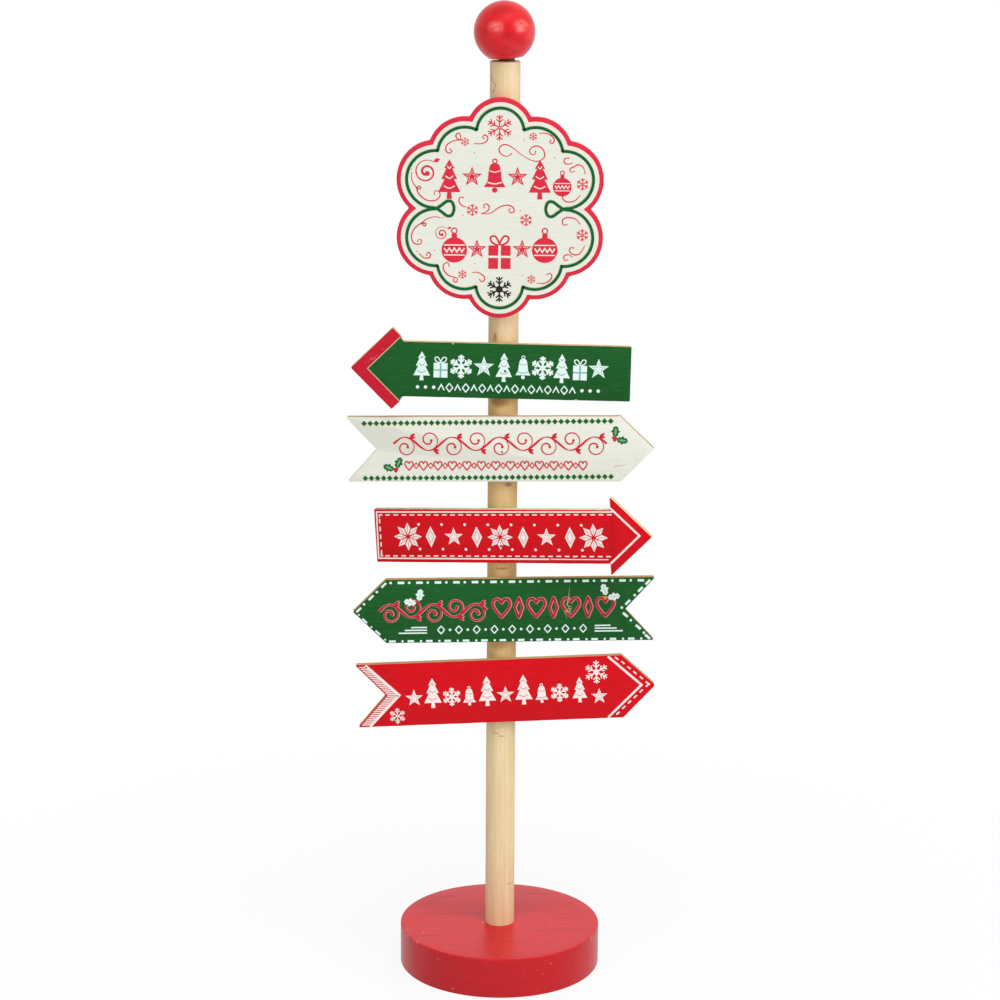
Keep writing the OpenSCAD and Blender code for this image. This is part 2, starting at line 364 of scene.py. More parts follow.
class Ink(Stock):
    """One colour of print on one board. A higher layer lies on a lower one."""

    def __init__(self, board, layer=1):
        super().__init__(board)
        self.layer = layer
        self.plates = 0

    def levels(self):
        """The underside and top of the next plate: a hair off the last, so crossing plates share no plane."""
        self.plates += 1
        hair = 0.0015 * (self.plates % 16)
        return BOARD_T - INK_SUNK - hair, BOARD_T + INK_T * self.layer + hair

    def fill(self, outline):
        """A plate inside an outline."""
        outline = np.asarray(outline, float)
        self.add(np.stack([np.column_stack([outline, np.full(len(outline), z)]) for z in self.levels()]))

    def stroke(self, path, width, closed=False):
        """A band along a path: at each point, half the width to both sides, square to the way."""
        path = np.asarray(path, float)
        if closed:
            ahead = np.roll(path, -1, 0) - np.roll(path, 1, 0)
        else:
            ahead = np.gradient(path, axis=0)
        ahead /= np.maximum(np.linalg.norm(ahead, axis=1, keepdims=True), 1e-9)
        half = np.broadcast_to(np.asarray(width, float) / 2, len(path))[:, None]
        across = np.column_stack([-ahead[:, 1], ahead[:, 0]]) * half
        low, top = self.levels()
        edges = [(path + across, top), (path - across, top), (path - across, low), (path + across, low)]
        rings = np.stack([np.column_stack([p, np.full(len(path), z)]) for p, z in edges], 1)
        self.add(rings, closed=closed)

    def bar(self, a, b, width):
        """A straight band from a to b."""
        self.stroke([a, b], width)

    def corner(self, points, width):
        """A bent band with mitred corners: at each corner both edges meet on its bisector."""
        p = np.asarray(points, float)
        way = np.diff(p, axis=0)
        way /= np.linalg.norm(way, axis=1, keepdims=True)
        side = np.column_stack([-way[:, 1], way[:, 0]])
        mitres = (side[:-1] + side[1:]) / (1 + (side[:-1] * side[1:]).sum(1, keepdims=True))
        side = np.vstack([side[:1], mitres, side[-1:]])
        self.fill(np.vstack([p + side * width / 2, (p - side * width / 2)[::-1]]))

    def disc(self, x, y, radius, steps=20):
        """A round dot."""
        self.fill(arc(x, y, radius, 0, 360 - 360 / steps, steps))

    def printed(self, what, colour):
        """Makes this print one piece, named for its board."""
        self.piece(f"{self.board}_{what}", SLOTS[self.board], [colour])


def swelling(count, thin, thick):
    """A pen's pressure along a stroke: thin at both ends, thick between."""
    return thin + (thick - thin) * np.sin(np.pi * np.linspace(0, 1, count))


def pen(ink, points, thin=0.25, thick=0.5, dot=0.0):
    """A pen stroke through points, which may end in a dot."""
    line = flow(points)
    ink.stroke(line, swelling(len(line), thin, thick))
    if dot:
        ink.disc(*line[-1], dot, 12)


def star_points(x, y, outer, inner, tips, first=90.0):
    """A star's outline: its radius changes from outer to inner at each half step."""
    turn = np.radians(first + np.arange(2 * tips) * 180 / tips)
    radius = np.where(np.arange(2 * tips) % 2 == 0, outer, inner)
    return np.column_stack([x + radius * np.cos(turn), y + radius * np.sin(turn)])


def snowflake(ink, x, y, radius, width, twigs, hub=0.0, first=90.0):
    """Six arms from a hub, with pairs of twigs: twigs gives each pair's place on the arm and its length."""
    for arm in range(6):
        turn = np.radians(first + 60 * arm)
        way = np.array([np.cos(turn), np.sin(turn)])
        ink.bar(np.array([x, y]) + way * width / 2, np.array([x, y]) + way * radius, width)
        for place, length in twigs:
            root = np.array([x, y]) + way * radius * place
            for side in (-1, 1):
                lean = turn + side * TWIG_LEAN
                ink.bar(root, root + radius * length * np.array([np.cos(lean), np.sin(lean)]), width * 0.9)
    if hub:
        ink.fill(arc(x, y, hub, 0, 300, 6))


def leaf_outline(base, tip, width, spikes=3):
    """A holly leaf: its half-width follows a sine bow, drawn out into pointed spikes along both edges."""
    base, tip = np.array(base, float), np.array(tip, float)
    share = np.linspace(0, 1, 6 * spikes + 1)
    saw = np.abs((share * spikes) % 1 - 0.5) * 2
    bow = np.sin(np.pi * share) ** 0.7 * width / 2 * (0.62 + 0.5 * (1 - saw))
    along = base + (tip - base) * share[:, None]
    across = np.array([-(tip - base)[1], (tip - base)[0]]) / np.linalg.norm(tip - base)
    return np.vstack([along + across * bow[:, None], (along - across * bow[:, None])[-2:0:-1]])


def holly(leaf_ink, vein_ink, berry_ink, leaves, berries, width, berry=0.75, vein=0.3):
    """A sprig: leaves, each with a vein that swells to the width given, and berries where they meet."""
    for base, tip in leaves:
        leaf_ink.fill(leaf_outline(base, tip, width))
        base, tip = np.array(base), np.array(tip)
        vein_ink.stroke(base + (tip - base) * np.linspace(0.12, 0.85, 9)[:, None], swelling(9, 0.15, vein))
    for x, y in berries:
        berry_ink.disc(x, y, berry, 12)


# Motifs, all drawn to a height and a middle in one ink, with the lines in another laid over it

def shaped(points, x, y, height, flip=1):
    """A motif's outline, drawn for a height of 1 about 0, moved to its place; flip -1 mirrors it."""
    return np.asarray(points, float) * (height * flip, height) + (x, y)


def fir_tree(ink, line, x, y, h):
    """Three tiers of boughs over a short trunk, with a garland across each tier."""
    side = [(0, 0.5), (0.13, 0.27), (0.075, 0.27), (0.2, 0.0), (0.12, 0.0), (0.28, -0.33), (0.05, -0.33),
            (0.07, -0.5)]
    ink.fill(shaped(side + [(-a, b) for a, b in side[::-1] if a > 0], x, y, h))
    for low, reach in ((0.3, 0.05), (0.05, 0.1), (-0.2, 0.14)):
        garland = flow([(-reach, low + 0.03), (0, low - 0.03), (reach, low + 0.03)])
        line.stroke(shaped(garland, x, y, h), 0.022 * h + 0.12)


def flake(ink, line, x, y, h):
    """A snowflake with two pairs of twigs on each arm. It has no lines laid over it."""
    snowflake(ink, x, y, 0.44 * h, 0.075 * h, [(0.4, 0.36), (0.68, 0.3)], 0.1 * h)


def bell(ink, line, x, y, h):
    """A bell with its loop and clapper."""
    side = flow([(0, 0.36), (0.12, 0.31), (0.17, 0.12), (0.2, -0.12), (0.3, -0.3)])
    ink.fill(shaped(np.vstack([side, side[-1:0:-1] * (-1, 1)]), x, y, h))
    ink.stroke(shaped(arc(0, 0.41, 0.06, 0, 345, 14), x, y, h), 0.035 * h, closed=True)
    ink.disc(x, y - 0.38 * h, 0.075 * h)
    line.stroke(shaped(flow([(-0.2, -0.17), (0, -0.21), (0.2, -0.17)]), x, y, h), 0.035 * h)
    line.stroke(shaped(flow([(-0.15, 0.15), (0, 0.11), (0.15, 0.15)]), x, y, h), 0.025 * h)


def bauble(ink, line, x, y, h):
    """A ball ornament with its cap and ring, and a zigzag round its middle."""
    ink.disc(x, y - 0.12 * h, 0.33 * h, 32)
    ink.fill(shaped([(-0.07, 0.19), (0.07, 0.19), (0.07, 0.3), (-0.07, 0.3)], x, y, h))
    ink.stroke(shaped(arc(0, 0.38, 0.07, 0, 345, 14), x, y, h), 0.035 * h, closed=True)
    zigzag = [(-0.26 + 0.065 * i, -0.12 + 0.05 * (-1) ** i) for i in range(9)]
    line.corner(shaped(zigzag, x, y, h), 0.035 * h)
    for low in (-0.25, 0.01):
        line.bar((x - 0.27 * h, y + low * h), (x + 0.27 * h, y + low * h), 0.03 * h)


def gift(ink, line, x, y, h):
    """A parcel with a ribbon and a bow."""
    ink.fill(shaped([(-0.3, -0.5), (0.3, -0.5), (0.3, 0.14), (-0.3, 0.14)], x, y, h))
    line.bar((x, y - 0.5 * h), (x, y + 0.14 * h), 0.07 * h)
    line.bar((x - 0.3 * h, y - 0.17 * h), (x + 0.3 * h, y - 0.17 * h), 0.06 * h)
    for side in (-1, 1):
        loop = flow([(0, 0.15), (0.11, 0.38), (0.24, 0.36), (0.2, 0.22)], closed=True)
        ink.stroke(shaped(loop, x, y, h, side), 0.05 * h, closed=True)


def star(ink, line, x, y, h):
    """A five-pointed star with a line inside its edge."""
    ink.fill(star_points(x, y, 0.42 * h, 0.17 * h, 5))
    line.stroke(star_points(x, y, 0.26 * h, 0.1 * h, 5), 0.025 * h, closed=True)


def rosette(ink, line, x, y, h):
    """An eight-petalled knitting star: eight lozenges round a middle, each split by a line."""
    for turn in range(8):
        way = np.array([np.cos(turn * np.pi / 4), np.sin(turn * np.pi / 4)])
        side = np.array([-way[1], way[0]]) * 0.095
        petal = np.array([way * 0.06, way * 0.26 + side, way * 0.46, way * 0.26 - side])
        ink.fill(np.array([x, y]) + h * petal)
        line.bar(np.array([x, y]) + way * 0.15 * h, np.array([x, y]) + way * 0.38 * h, 0.022 * h)


def diamond(x, y, half, rise):
    """A diamond's corners: half to the sides and rise up and down."""
    return np.array([(x, y + rise), (x + half, y), (x, y - rise), (x - half, y)])


def diamond_line(ink, x, y, half, rise, width, step=0.6):
    """A diamond drawn as a line."""
    ink.stroke(resampled(diamond(x, y, half, rise), step), width, closed=True)


def lozenge(ink, line, x, y, h):
    """A tall diamond with a smaller one drawn in it."""
    ink.fill(diamond(x, y, 0.24 * h, h / 2))
    diamond_line(line, x, y, 0.14 * h, 0.3 * h, 0.03 * h, 0.7)


def heart_outline(x, y, h):
    """A heart, round at both shoulders and pointed below."""
    side = flow([(0, 0.25), (0.14, 0.45), (0.36, 0.42), (0.44, 0.16), (0.26, -0.18), (0, -0.5)])
    return shaped(np.vstack([side, side[-2:0:-1] * (-1, 1)]), x, y, h)


def frieze(ink, line, motifs, places, base, heights):
    """A row of motifs: base gives the height of the middle line at x."""
    for motif, x, height in zip(motifs, places, heights):
        motif(ink, line, x, base(x), height)


def vine(ink, start, end, y, waves, rise, thin, thick, grow=0.0):
    """A running scroll: a stem that swings as a sine about its line, with a curled tendril in each swing.

    Two leaves stand where the stem leaves a swing. grow widens it all, for an edge of another colour below.
    """
    step = (end - start) / waves
    share = np.linspace(0, waves, 36 * waves)
    stem = np.column_stack([start + share * step, y + rise * 0.55 * np.sin(np.pi * share)])
    ink.stroke(stem, thin + (thick - thin) * np.abs(np.cos(np.pi * share)) ** 1.5 + grow)
    for i in range(waves):
        side = 1 if i % 2 == 0 else -1
        x, low = start + (i + 0.5) * step, y - side * rise * 0.3
        tendril = curl(x, low, rise * 0.85, rise * 0.2, side * 112, -side * 465, 44)
        ink.stroke(tendril, np.linspace(thin, thick, 44) * np.linspace(1, 0.75, 44) + grow)
        ink.disc(*tendril[-1], thick * 0.62 + grow / 2, 12)
        root = np.array([x + step * 0.2, y + side * rise * 0.5])
        for lean, reach in ((40, 0.46), (2, 0.38)):
            turn = np.radians(lean) * side
            way = np.array([np.cos(turn), np.sin(turn)]) * rise * reach
            across = np.array([-way[1], way[0]]) * 0.26
            middle = root + way * 0.55
            leaf = flow([root, middle + across, root + way * 1.15, middle - across], 5, closed=True)
            ink.fill(leaf + normals(leaf) * -grow / 2)


# Materials

def tone(code):
    """An sRGB hex colour as Blender's linear one."""
    value = np.array([int(code[i:i + 2], 16) for i in (0, 2, 4)]) / 255
    linear = np.where(value <= 0.04045, value / 12.92, ((value + 0.055) / 1.055) ** 2.4)
    return (*linear.tolist(), 1.0)


def node(tree, kind, inputs=None, **settings):
    """Adds one node: settings go to its properties, inputs to its sockets as a value or a link."""
    made = tree.nodes.new(kind)
    for key, value in settings.items():
        setattr(made, key, value)
    for key, value in (inputs or {}).items():
        socket = made.inputs[key]
        if isinstance(value, bpy.types.NodeSocket):
            tree.links.new(value, socket)
        else:
            socket.default_value = value
    return made


def blank(name):
    """An empty node material and its output node."""
    material = bpy.data.materials.new(name)
    material.use_nodes = True
    material.node_tree.nodes.clear()
    return material, material.node_tree, material.node_tree.nodes.new("ShaderNodeOutputMaterial")


def streaks(tree, place, sizes, detail, low, high):
    """Noise drawn out to sizes, in millimetres, and spread from low to high onto 0 to 1."""
    drawn = node(tree, "ShaderNodeMapping", {"Vector": place, "Scale": tuple(1 / s for s in sizes)})
    inputs = {"Vector": drawn.outputs[0], "Scale": 1.0, "Detail": detail, "Roughness": 0.6}
    noise = node(tree, "ShaderNodeTexNoise", inputs)
    return node(tree, "ShaderNodeMapRange", {0: noise.outputs[0], 1: low, 2: high, 3: 0.0, 4: 1.0}).outputs[0]


def layered(tree, base, coats):
    """A base colour with coats over it. Each coat is a pattern from 0 to 1, its strength and its colour."""
    colour = tone(base)
    for pattern, strength, code in coats:
        share = node(tree, "ShaderNodeMath", {0: pattern, 1: strength}, operation="MULTIPLY")
        laid = node(tree, "ShaderNodeMix", {0: share.outputs[0], 6: colour, 7: tone(code)}, data_type="RGBA")
        colour = laid.outputs[2]
    return colour


def blot(tree, place, middle, sizes, edge=0.5, broken=None):
    """A soft spot: 1 at middle, 0 beyond sizes, all in millimetres. The pattern broken breaks it up."""
    off = node(tree, "ShaderNodeVectorMath", {0: place, 1: middle}, operation="SUBTRACT")
    off = node(tree, "ShaderNodeVectorMath", {0: off.outputs[0], 1: sizes}, operation="DIVIDE")
    far = node(tree, "ShaderNodeVectorMath", {0: off.outputs[0]}, operation="LENGTH")
    spread = {0: far.outputs["Value"], 1: 1.0, 2: edge, 3: 0.0, 4: 1.0}
    spot = node(tree, "ShaderNodeMapRange", spread, interpolation_type="SMOOTHSTEP").outputs[0]
    if broken is None:
        return spot
    return node(tree, "ShaderNodeMath", {0: spot, 1: broken}, operation="MULTIPLY").outputs[0]


def stock_place(tree):
    """The drawn millimetres of a piece, which follow its own grain."""
    return node(tree, "ShaderNodeAttribute", attribute_name="stock").outputs["Vector"]


def finish(tree, out, colour, rough, height=None, relief=0.02, **sockets):
    """Closes a material with one shader. height is the relief, as deep as relief in millimetres."""
    inputs = {"Base Color": colour, "Roughness": rough}
    if height is not None:
        bump = node(tree, "ShaderNodeBump", {"Height": height, "Strength": 1.0, "Distance": relief * MM})
        inputs["Normal"] = bump.outputs[0]
    shader = node(tree, "ShaderNodeBsdfPrincipled", inputs)
    for key, value in sockets.items():
        shader.inputs[key.replace("_", " ")].default_value = value
    tree.links.new(shader.outputs[0], out.inputs[0])


def board_paint(name, main, deep, faded, fade=0.35, rough=0.5):
    """Water-based satin paint rolled on sanded limewood, with print of the same kind.

    The grain shows as faint level streaks, a little darker and a little faded, and the broad tone wanders.
    """
    material, tree, out = blank(name)
    place = stock_place(tree)
    grain = streaks(tree, place, (34, 1.5, 1.5), 4.0, 0.3, 0.7)
    pores = streaks(tree, place, (11, 0.7, 0.7), 2.0, 0.56, 0.72)
    cloud = streaks(tree, place, (46, 19, 19), 2.0, 0.35, 0.65)
    colour = layered(tree, main, [(grain, 0.55, deep), (cloud, 0.3, deep), (pores, fade, faded)])
    finish(tree, out, colour, rough, grain, 0.015, Specular_IOR_Level=0.14)
    return material


def bare_board(name, light, dark, along=(30, 1.3, 0.9)):
    """Bare sawn limewood of edges and backs: fine long grain, darker hairlines and a burr from the saw."""
    material, tree, out = blank(name)
    place = stock_place(tree)
    grain = streaks(tree, place, along, 5.0, 0.3, 0.7)
    lines = streaks(tree, place, (along[0] * 1.6, along[1] * 0.4, along[2] * 0.4), 2.0, 0.55, 0.75)
    cloud = streaks(tree, place, (60, 14, 14), 2.0, 0.3, 0.7)
    colour = layered(tree, light, [(grain, 0.7, dark), (lines, 0.4, dark), (cloud, 0.25, dark)])
    finish(tree, out, colour, 0.72, grain, 0.05, Specular_IOR_Level=0.2)
    return material


def dowel_wood():
    """Sanded bare pine dowel: pale upright grain, browner among the boards, with flecks, a knot, marks and
    painted shade below two boards.
    """
    material, tree, out = blank("sanded_pine_dowel")
    place = stock_place(tree)
    grain = streaks(tree, place, (1.6, 1.6, 70), 4.0, 0.3, 0.7)
    lines = streaks(tree, place, (0.7, 0.7, 40), 2.0, 0.54, 0.7)
    cloud = streaks(tree, place, (12, 12, 55), 3.0, 0.35, 0.7)
    flecks = streaks(tree, place, (0.5, 0.5, 5), 1.0, 0.7, 0.78)
    # browner over the boards' height, fading out towards z 157 and z 433
    browner_zone = blot(tree, place, (0, 0, 295), (45, 45, 138), 0.8)
    coats = [(grain, 0.5, "D9BC8B"), (lines, 0.35, "C9A671"), (cloud, 0.45, "D2B080"), (browner_zone, 0.62, "D2A865"),
             (flecks, 0.5, "9A6B3C")]
    marks_and_shade = [
        ((-5.2, -7.9, 419.8), (0.9, 3, 2.6), "6B4423", 0.9),  # knot
        ((-5.2, -7.9, 419.8), (2.2, 4, 7), "B98A52", 0.6),  # brown ring of the knot
        ((4.0, -8.6, 325.0), (4.5, 3, 2.2), "5A4226", 0.6),  # dark mark just below the white pennant
        ((6.5, -6.9, 55.1), (3.2, 3, 1.4), "D98F86", 0.6),  # rub of red paint
        ((-3.4, -8.8, 159.4), (3.2, 3, 0.7), "7C5A34", 0.55),  # two scores
        ((0.6, -9.4, 157.6), (3.2, 3, 0.6), "7C5A34", 0.55),
        ((0, -9.5, 270.0), (6.5, 3, 0.8), "6E5029", 0.6),  # score
        ((0, -9.5, 276.5), (8.5, 5, 3.4), "F0E3C4", 0.5),  # sanded spot
        ((-3, -8.8, 378.8), (10, 6, 5.5), "8A5F2E", 0.8),  # painted shade below the green arrow and below the green pennant
        ((-2, -9, 219), (9, 5, 4.5), "A9793F", 0.45),
    ]
    coats += [(blot(tree, place, middle, sizes, 0.2), share, code) for middle, sizes, code, share in marks_and_shade]
    finish(tree, out, layered(tree, "EBD7B0", coats), 0.6, grain, 0.04, Specular_IOR_Level=0.2)
    return material


def foot_paint():
    """Solvent red gloss brushed on turned limewood: dark level grain, a sheen and pale nicks.

    The side is painted a deeper red than the top as painted shade, the top's far part is painted paler as a
    painted sheen, and the rim is rubbed in three places.
    """
    material, tree, out = blank("brushed_red_gloss_on_wood")
    place = stock_place(tree)
    grain = streaks(tree, place, (38, 1.8, 1.8), 4.0, 0.35, 0.7)
    lines = streaks(tree, place, (30, 0.9, 0.9), 3.0, 0.6, 0.75)
    cloud = streaks(tree, place, (30, 18, 14), 2.0, 0.35, 0.7)
    broken = streaks(tree, place, (4, 0.7, 3), 4.0, 0.42, 0.6)
    rubbed = streaks(tree, place, (20, 1.3, 4), 4.0, 0.5, 0.7)
    # painted sheen: the far part of the top painted paler
    far = blot(tree, place, (0, 52, 26.5), (80, 30, 5), 0.2)
    coats = [(grain, 0.35, "B0141C"), (cloud, 0.35, "B8161F"), (far, 0.6, "E03A42"), (lines, 0.4, "8E0F16"),
             (rubbed, 0.3, "DC3C42")]
    top = FOOT_T
    dark = [(-36, 41, 18, 3.2), (-34, 9.5, 28, 2.2), (-15, 11, 7, 2.0), (24, 17, 17, 2.0),
            (-45, -26.5, 16, 2.0), (34, -17, 25, 2.0), (-29, -41, 14, 2.0), (26, 47, 20, 2.2),
            (8, -36, 18, 1.6), (46, 4, 14, 1.6)]
    for x, y, along, across in dark:
        coats.append((blot(tree, place, (x, y, top), (along, across, 3), 0.1, broken), 0.6, "7A0E16"))
    # painted shade: the side is painted a deeper red than the top
    height = node(tree, "ShaderNodeSeparateXYZ", {0: place}).outputs[2]
    side = node(tree, "ShaderNodeMapRange", {0: height, 1: 26.2, 2: 25.0, 3: 0.0, 4: 1.0}).outputs[0]
    coats.append((side, 0.5, "AE0E18"))
    worn = [((-60.5, -21, 25.5), (4, 12, 2.2)), ((60.5, -23, 24.5), (4, 11, 3.2)),
            ((-54, -36, 25.9), (7, 7, 1.0))]
    for middle, sizes in worn:
        coats.append((blot(tree, place, middle, sizes, 0.3, rubbed), 0.75, "D9958C"))
    nicks = [((-50.1, -21.6, top), (0.8, 0.9, 2)), ((42.6, 45.9, top), (1.0, 1.0, 2)),
             ((34.4, -6.6, top), (0.9, 0.5, 2)), ((-29.8, -58.1, 3.3), (1.2, 2, 0.5)),
             ((33.1, -56.2, 20.3), (0.8, 2, 0.4)), ((24.9, -60.3, 3.4), (0.4, 2, 0.5)),
             ((-39.3, -52.1, 20.7), (0.5, 2, 0.5)), ((-11.1, -3.2, top), (0.9, 1.6, 1.5)),
             ((28, -58.8, 14), (0.4, 2, 0.4))]
    coats += [(blot(tree, place, middle, sizes, 0.5), 0.55, "D9A58C") for middle, sizes in nicks]
    finish(tree, out, layered(tree, "CC1620", coats), 0.33, grain, 0.03, Specular_IOR_Level=0.25)
    return material


def ball_paint():
    """Red gloss brushed on a turned ball: clouded from deep to rubbed red, with two pale, speckled painted
    highlights and more painted light and shade.
    """
    material, tree, out = blank("red_gloss_on_ball")
    place = stock_place(tree)
    # pale serves only the painted highlights; deep and rubbed also serve the painted shade and painted side
    # light below
    deep, rubbed, pale = "BE000C", "E24844", "F5857A"
    cloud = streaks(tree, place, (17, 15, 11), 1.0, 0.42, 0.62)
    worn = streaks(tree, place, (13, 13, 9), 2.0, 0.5, 0.7)
    grain = streaks(tree, place, (1.6, 1.6, 30), 3.0, 0.3, 0.7)
    speckle = streaks(tree, place, (3, 3, 3), 3.0, 0.3, 0.55)
    painted_light_and_shade = [
        # painted shade: deeper red above and below the highlights
        ((-1, -13, 32), (13, 9, 6), deep, 0.9, None),
        ((3.6, -18.7, 16.8), (7.5, 5, 4.5), deep, 0.9, None),
        # painted light: paler red at both sides
        ((16, -11, 17), (7, 9, 11), rubbed, 0.5, None),
        ((-16, -9, 8), (6, 9, 8), rubbed, 0.4, None),
        # painted highlights: two pale, speckled spots
        ((-5.1, -17.8, 22.8), (7.5, 8, 5), pale, 0.6, speckle),
        ((10.9, -15.2, 22.3), (7.5, 8, 5.5), pale, 0.6, speckle),
    ]
    coats = [(cloud, 0.5, deep), (worn, 0.25, rubbed)]
    for middle, sizes, code, share, broken in painted_light_and_shade:
        coats.append((blot(tree, place, middle, sizes, 0.1, broken), share, code))
    finish(tree, out, layered(tree, "D60C1C", coats), 0.27, grain, 0.02, Specular_IOR_Level=0.32)
    return material


def pin_wood():
    """Dark stained beech dowel: brown-black with short pale pores along it."""
    material, tree, out = blank("dark_stained_beech")
    place = node(tree, "ShaderNodeTexCoord").outputs["Object"]
    grain = streaks(tree, place, (0.0006, 0.0006, 0.02), 3.0, 0.35, 0.65)
    finish(tree, out, layered(tree, "3A2010", [(grain, 1.0, "5B3820")]), 0.6)
    return material


def drawn_steel(name, main, deep, rough):
    """Drawn mild steel of nails and screw: grey, faintly blotched, with a soft metallic light."""
    material, tree, out = blank(name)
    place = node(tree, "ShaderNodeTexCoord").outputs["Object"]
    cloud = streaks(tree, place, (0.0015, 0.0015, 0.0015), 2.0, 0.3, 0.7)
    finish(tree, out, layered(tree, main, [(cloud, 1.0, deep)]), rough, Metallic=0.9)
    return material


GREEN = board_paint("green_satin_board_paint", "155723", "0E4A1B", "42733B")
RED = board_paint("red_satin_board_paint", "D00617", "C00412", "DC3A40", 0.2)
CREAM = board_paint("off_white_board_paint", "E0E1D6", "D6D7CB", "C8C4B4", 0.35, 0.6)
RIM_RED = board_paint("rose_red_rim_paint", "D62C40", "C82238", "E4586A", 0.25)
ROSE_INK = board_paint("rose_red_print", "D62C41", "C82439", "E26476", 0.25)
TIP_INK = board_paint("crimson_print", "C2182E", "B41428", "D2384C", 0.25)
RUBBED_INK = board_paint("rubbed_off_red", "B8423E", "A83632", "CC6A60", 0.3)
HALO_INK = board_paint("pale_yellow_print", "D6DCAE", "CACF9E", "DEE2C2", 0.3)
LEAF_INK = board_paint("light_green_print", "74A868", "669A5C", "8CBA80", 0.3)
SCRIPT_INK = board_paint("brick_red_print", "CE2232", "BC1A2A", "DC6A74", 0.3)
PINE_INK = board_paint("bottle_green_print", "10623B", "0A5430", "468664", 0.3)
LINE_INK = board_paint("leaf_green_print", "045F2E", "034F26", "2E7650", 0.3)
WHITE_INK = board_paint("cool_white_print", "DFF0EA", "D2E6DE", "BCD2C8", 0.35)
WARM_INK = board_paint("warm_white_print", "F3E6E1", "EAD9D4", "E0BEBC", 0.35)
DEEP_INK = board_paint("deep_red_print", "B62236", "A61A2E", "C84C5A", 0.3)
SHADE_INK = board_paint("grey_green_print", "7FB0B0", "6A9C9C", "9CC2C0", 0.3)
BLUSH_INK = board_paint("blush_print", "D79AA2", "C8858E", "E2BCC0", 0.3)
BLACK_INK = board_paint("brown_black_print", "1E1614", "120D0C", "4A3E38", 0.3)
TAN_INK = board_paint("tan_print_edge", "C4B78C", "B6A87C", "D2C8A6", 0.3)
GOLD_INK = board_paint("ochre_print", "C49C26", "B48C1E", "D2B04E", 0.3)
SCRATCH = board_paint("scratch_through_paint", "C4B07E", "B29C68", "D6C8A2", 0.3)
BACK_WOOD = bare_board("sanded_limewood_back", "DEC79C", "C6A56F")
TAN_EDGE = bare_board("tan_sawn_edge", "CFB083", "B8935F")
GREY_EDGE = bare_board("greyed_sawn_edge", "C0A484", "A98B6B")
PALE_EDGE = bare_board("pale_sawn_edge", "DCCDAA", "C9B489")
BROWN_EDGE = bare_board("brown_sawn_edge", "BE9A6B", "A47E4E")
OLIVE_EDGE = bare_board("olive_sawn_edge", "BEA375", "A38854")


# Turned pieces

def foot():
    """A turned disc with rounded rims, a screw's hollow below and the post's socket above."""
    rim, axis, hollow = 0.6, 0.05, 4.0
    profile = [(axis, 2.7), (2.4, 2.6), (hollow, 1.0), (hollow, 0.05), (hollow + 0.2, 0)]
    profile += [(r, 0) for r in (20, 40, 58)]
    profile += arc(FOOT_R - rim, rim, rim, -90, 0, 7).tolist() + [(FOOT_R, 7), (FOOT_R, 14), (FOOT_R, 20)]
    profile += arc(FOOT_R - rim, FOOT_T - rim, rim, 0, 90, 7).tolist()
    profile += [(r, FOOT_T) for r in (58, 44, 28, 16)]
    profile += [(POST_R + 0.2, FOOT_T), (POST_R, FOOT_T - 0.2), (POST_R, SOCKET_Z), (axis, SOCKET_Z)]
    stock = Stock()
    stock.add(lathe(profile, 192, 0.12, 3))
    stock.piece("foot_dressed", "foot_paint", [foot_paint()], "foot")


def post():
    """A dowel a hair out of round, with a small chamfer at its top end and a red scratch below it."""
    heights = np.linspace(SOCKET_Z + 0.5, POST_TOP - 0.5, 110)
    profile = [(0.05, SOCKET_Z), (POST_R - 0.4, SOCKET_Z)] + [(POST_R, z) for z in heights]
    profile += [(POST_R - 0.15, POST_TOP - 0.15), (POST_R - 0.5, POST_TOP), (0.05, POST_TOP)]
    stock = Stock()
    stock.add(lathe(profile, 72, 0.12, 5))
    stock.piece("post_dressed", "post_wood", [dowel_wood()], "post")
    scar = Ink("post")
    line = flow([(-11.0, 583.0), (-9.5, 580.9), (-10.0, 580.4), (-8.5, 579.7), (-8.9, 579.0), (-6.8, 577.4),
                 (-6.7, 576.0), (-7.5, 574.6), (-7.2, 573.6), (-8.7, 572.5), (-7.6, 572.4)])
    scar.stroke(line, 0.28 + 0.16 * np.sin(np.arange(len(line)) * 0.9))
    scar.piece("post_scratch", "post_wood", [RUBBED_INK])


def on_pin(points):
    """From the leaning pin's frame, with its origin in the post's top, to the part's own."""
    lean = np.radians(PIN_LEAN)
    x, y, z = points.T
    along = x * np.cos(lean) - z * np.sin(lean) + PIN_X
    return np.column_stack([along, y, x * np.sin(lean) + z * np.cos(lean) + POST_TOP])


def ball():
    """A turned ball with a small flat below, whose edge is pale bare wood."""
    radius, flat, gap = 18.98, 10.5, 2.1
    drop = (radius ** 2 - flat ** 2) ** 0.5
    start = -np.degrees(np.arctan2(drop, flat))
    outline = arc(0, gap + drop, radius, start, 89.7, 72).tolist()
    stock = Stock()
    rings = lathe([(0.05, gap), (flat - 0.45, gap)] + outline, 112, 0.05, 8)
    tones = np.zeros((len(rings) - 1, rings.shape[1]), int)
    tones[1] = 1
    stock.add(rings, tones, place=on_pin)
    stock.piece("ball_dressed", "ball_paint", [ball_paint(), PALE_EDGE], "finial_ball")


def nails():
    """Six nails: a shank in the wood and a low domed head proud of the face. The white board's is bright."""
    shank, head, length, proud = 0.55, 0.8, 18, 0.2
    profile = [(0.03, BOARD_T - length), (shank, BOARD_T - length + 1), (shank, BOARD_T - 0.5)]
    profile += [(head, BOARD_T - 0.45)]
    profile += [(head * np.cos(t), BOARD_T + proud * np.sin(t)) for t in np.radians(np.linspace(0, 86, 7))]
    stock = Stock()
    for name, hang in HANG.items():
        stock.board = name
        steel = int(name == "white_pennant")
        stock.add(lathe(profile, 24) + np.array([*hang[3], 0]), steel, (steel, steel))
    dull = drawn_steel("dull_nail_steel", "4B4642", "2C2826", 0.45)
    bright = drawn_steel("bright_nail_steel", "A6A29A", "86827A", 0.4)
    stock.piece("nails_dressed", "nail_steel", [dull, bright], "nails")


# Boards

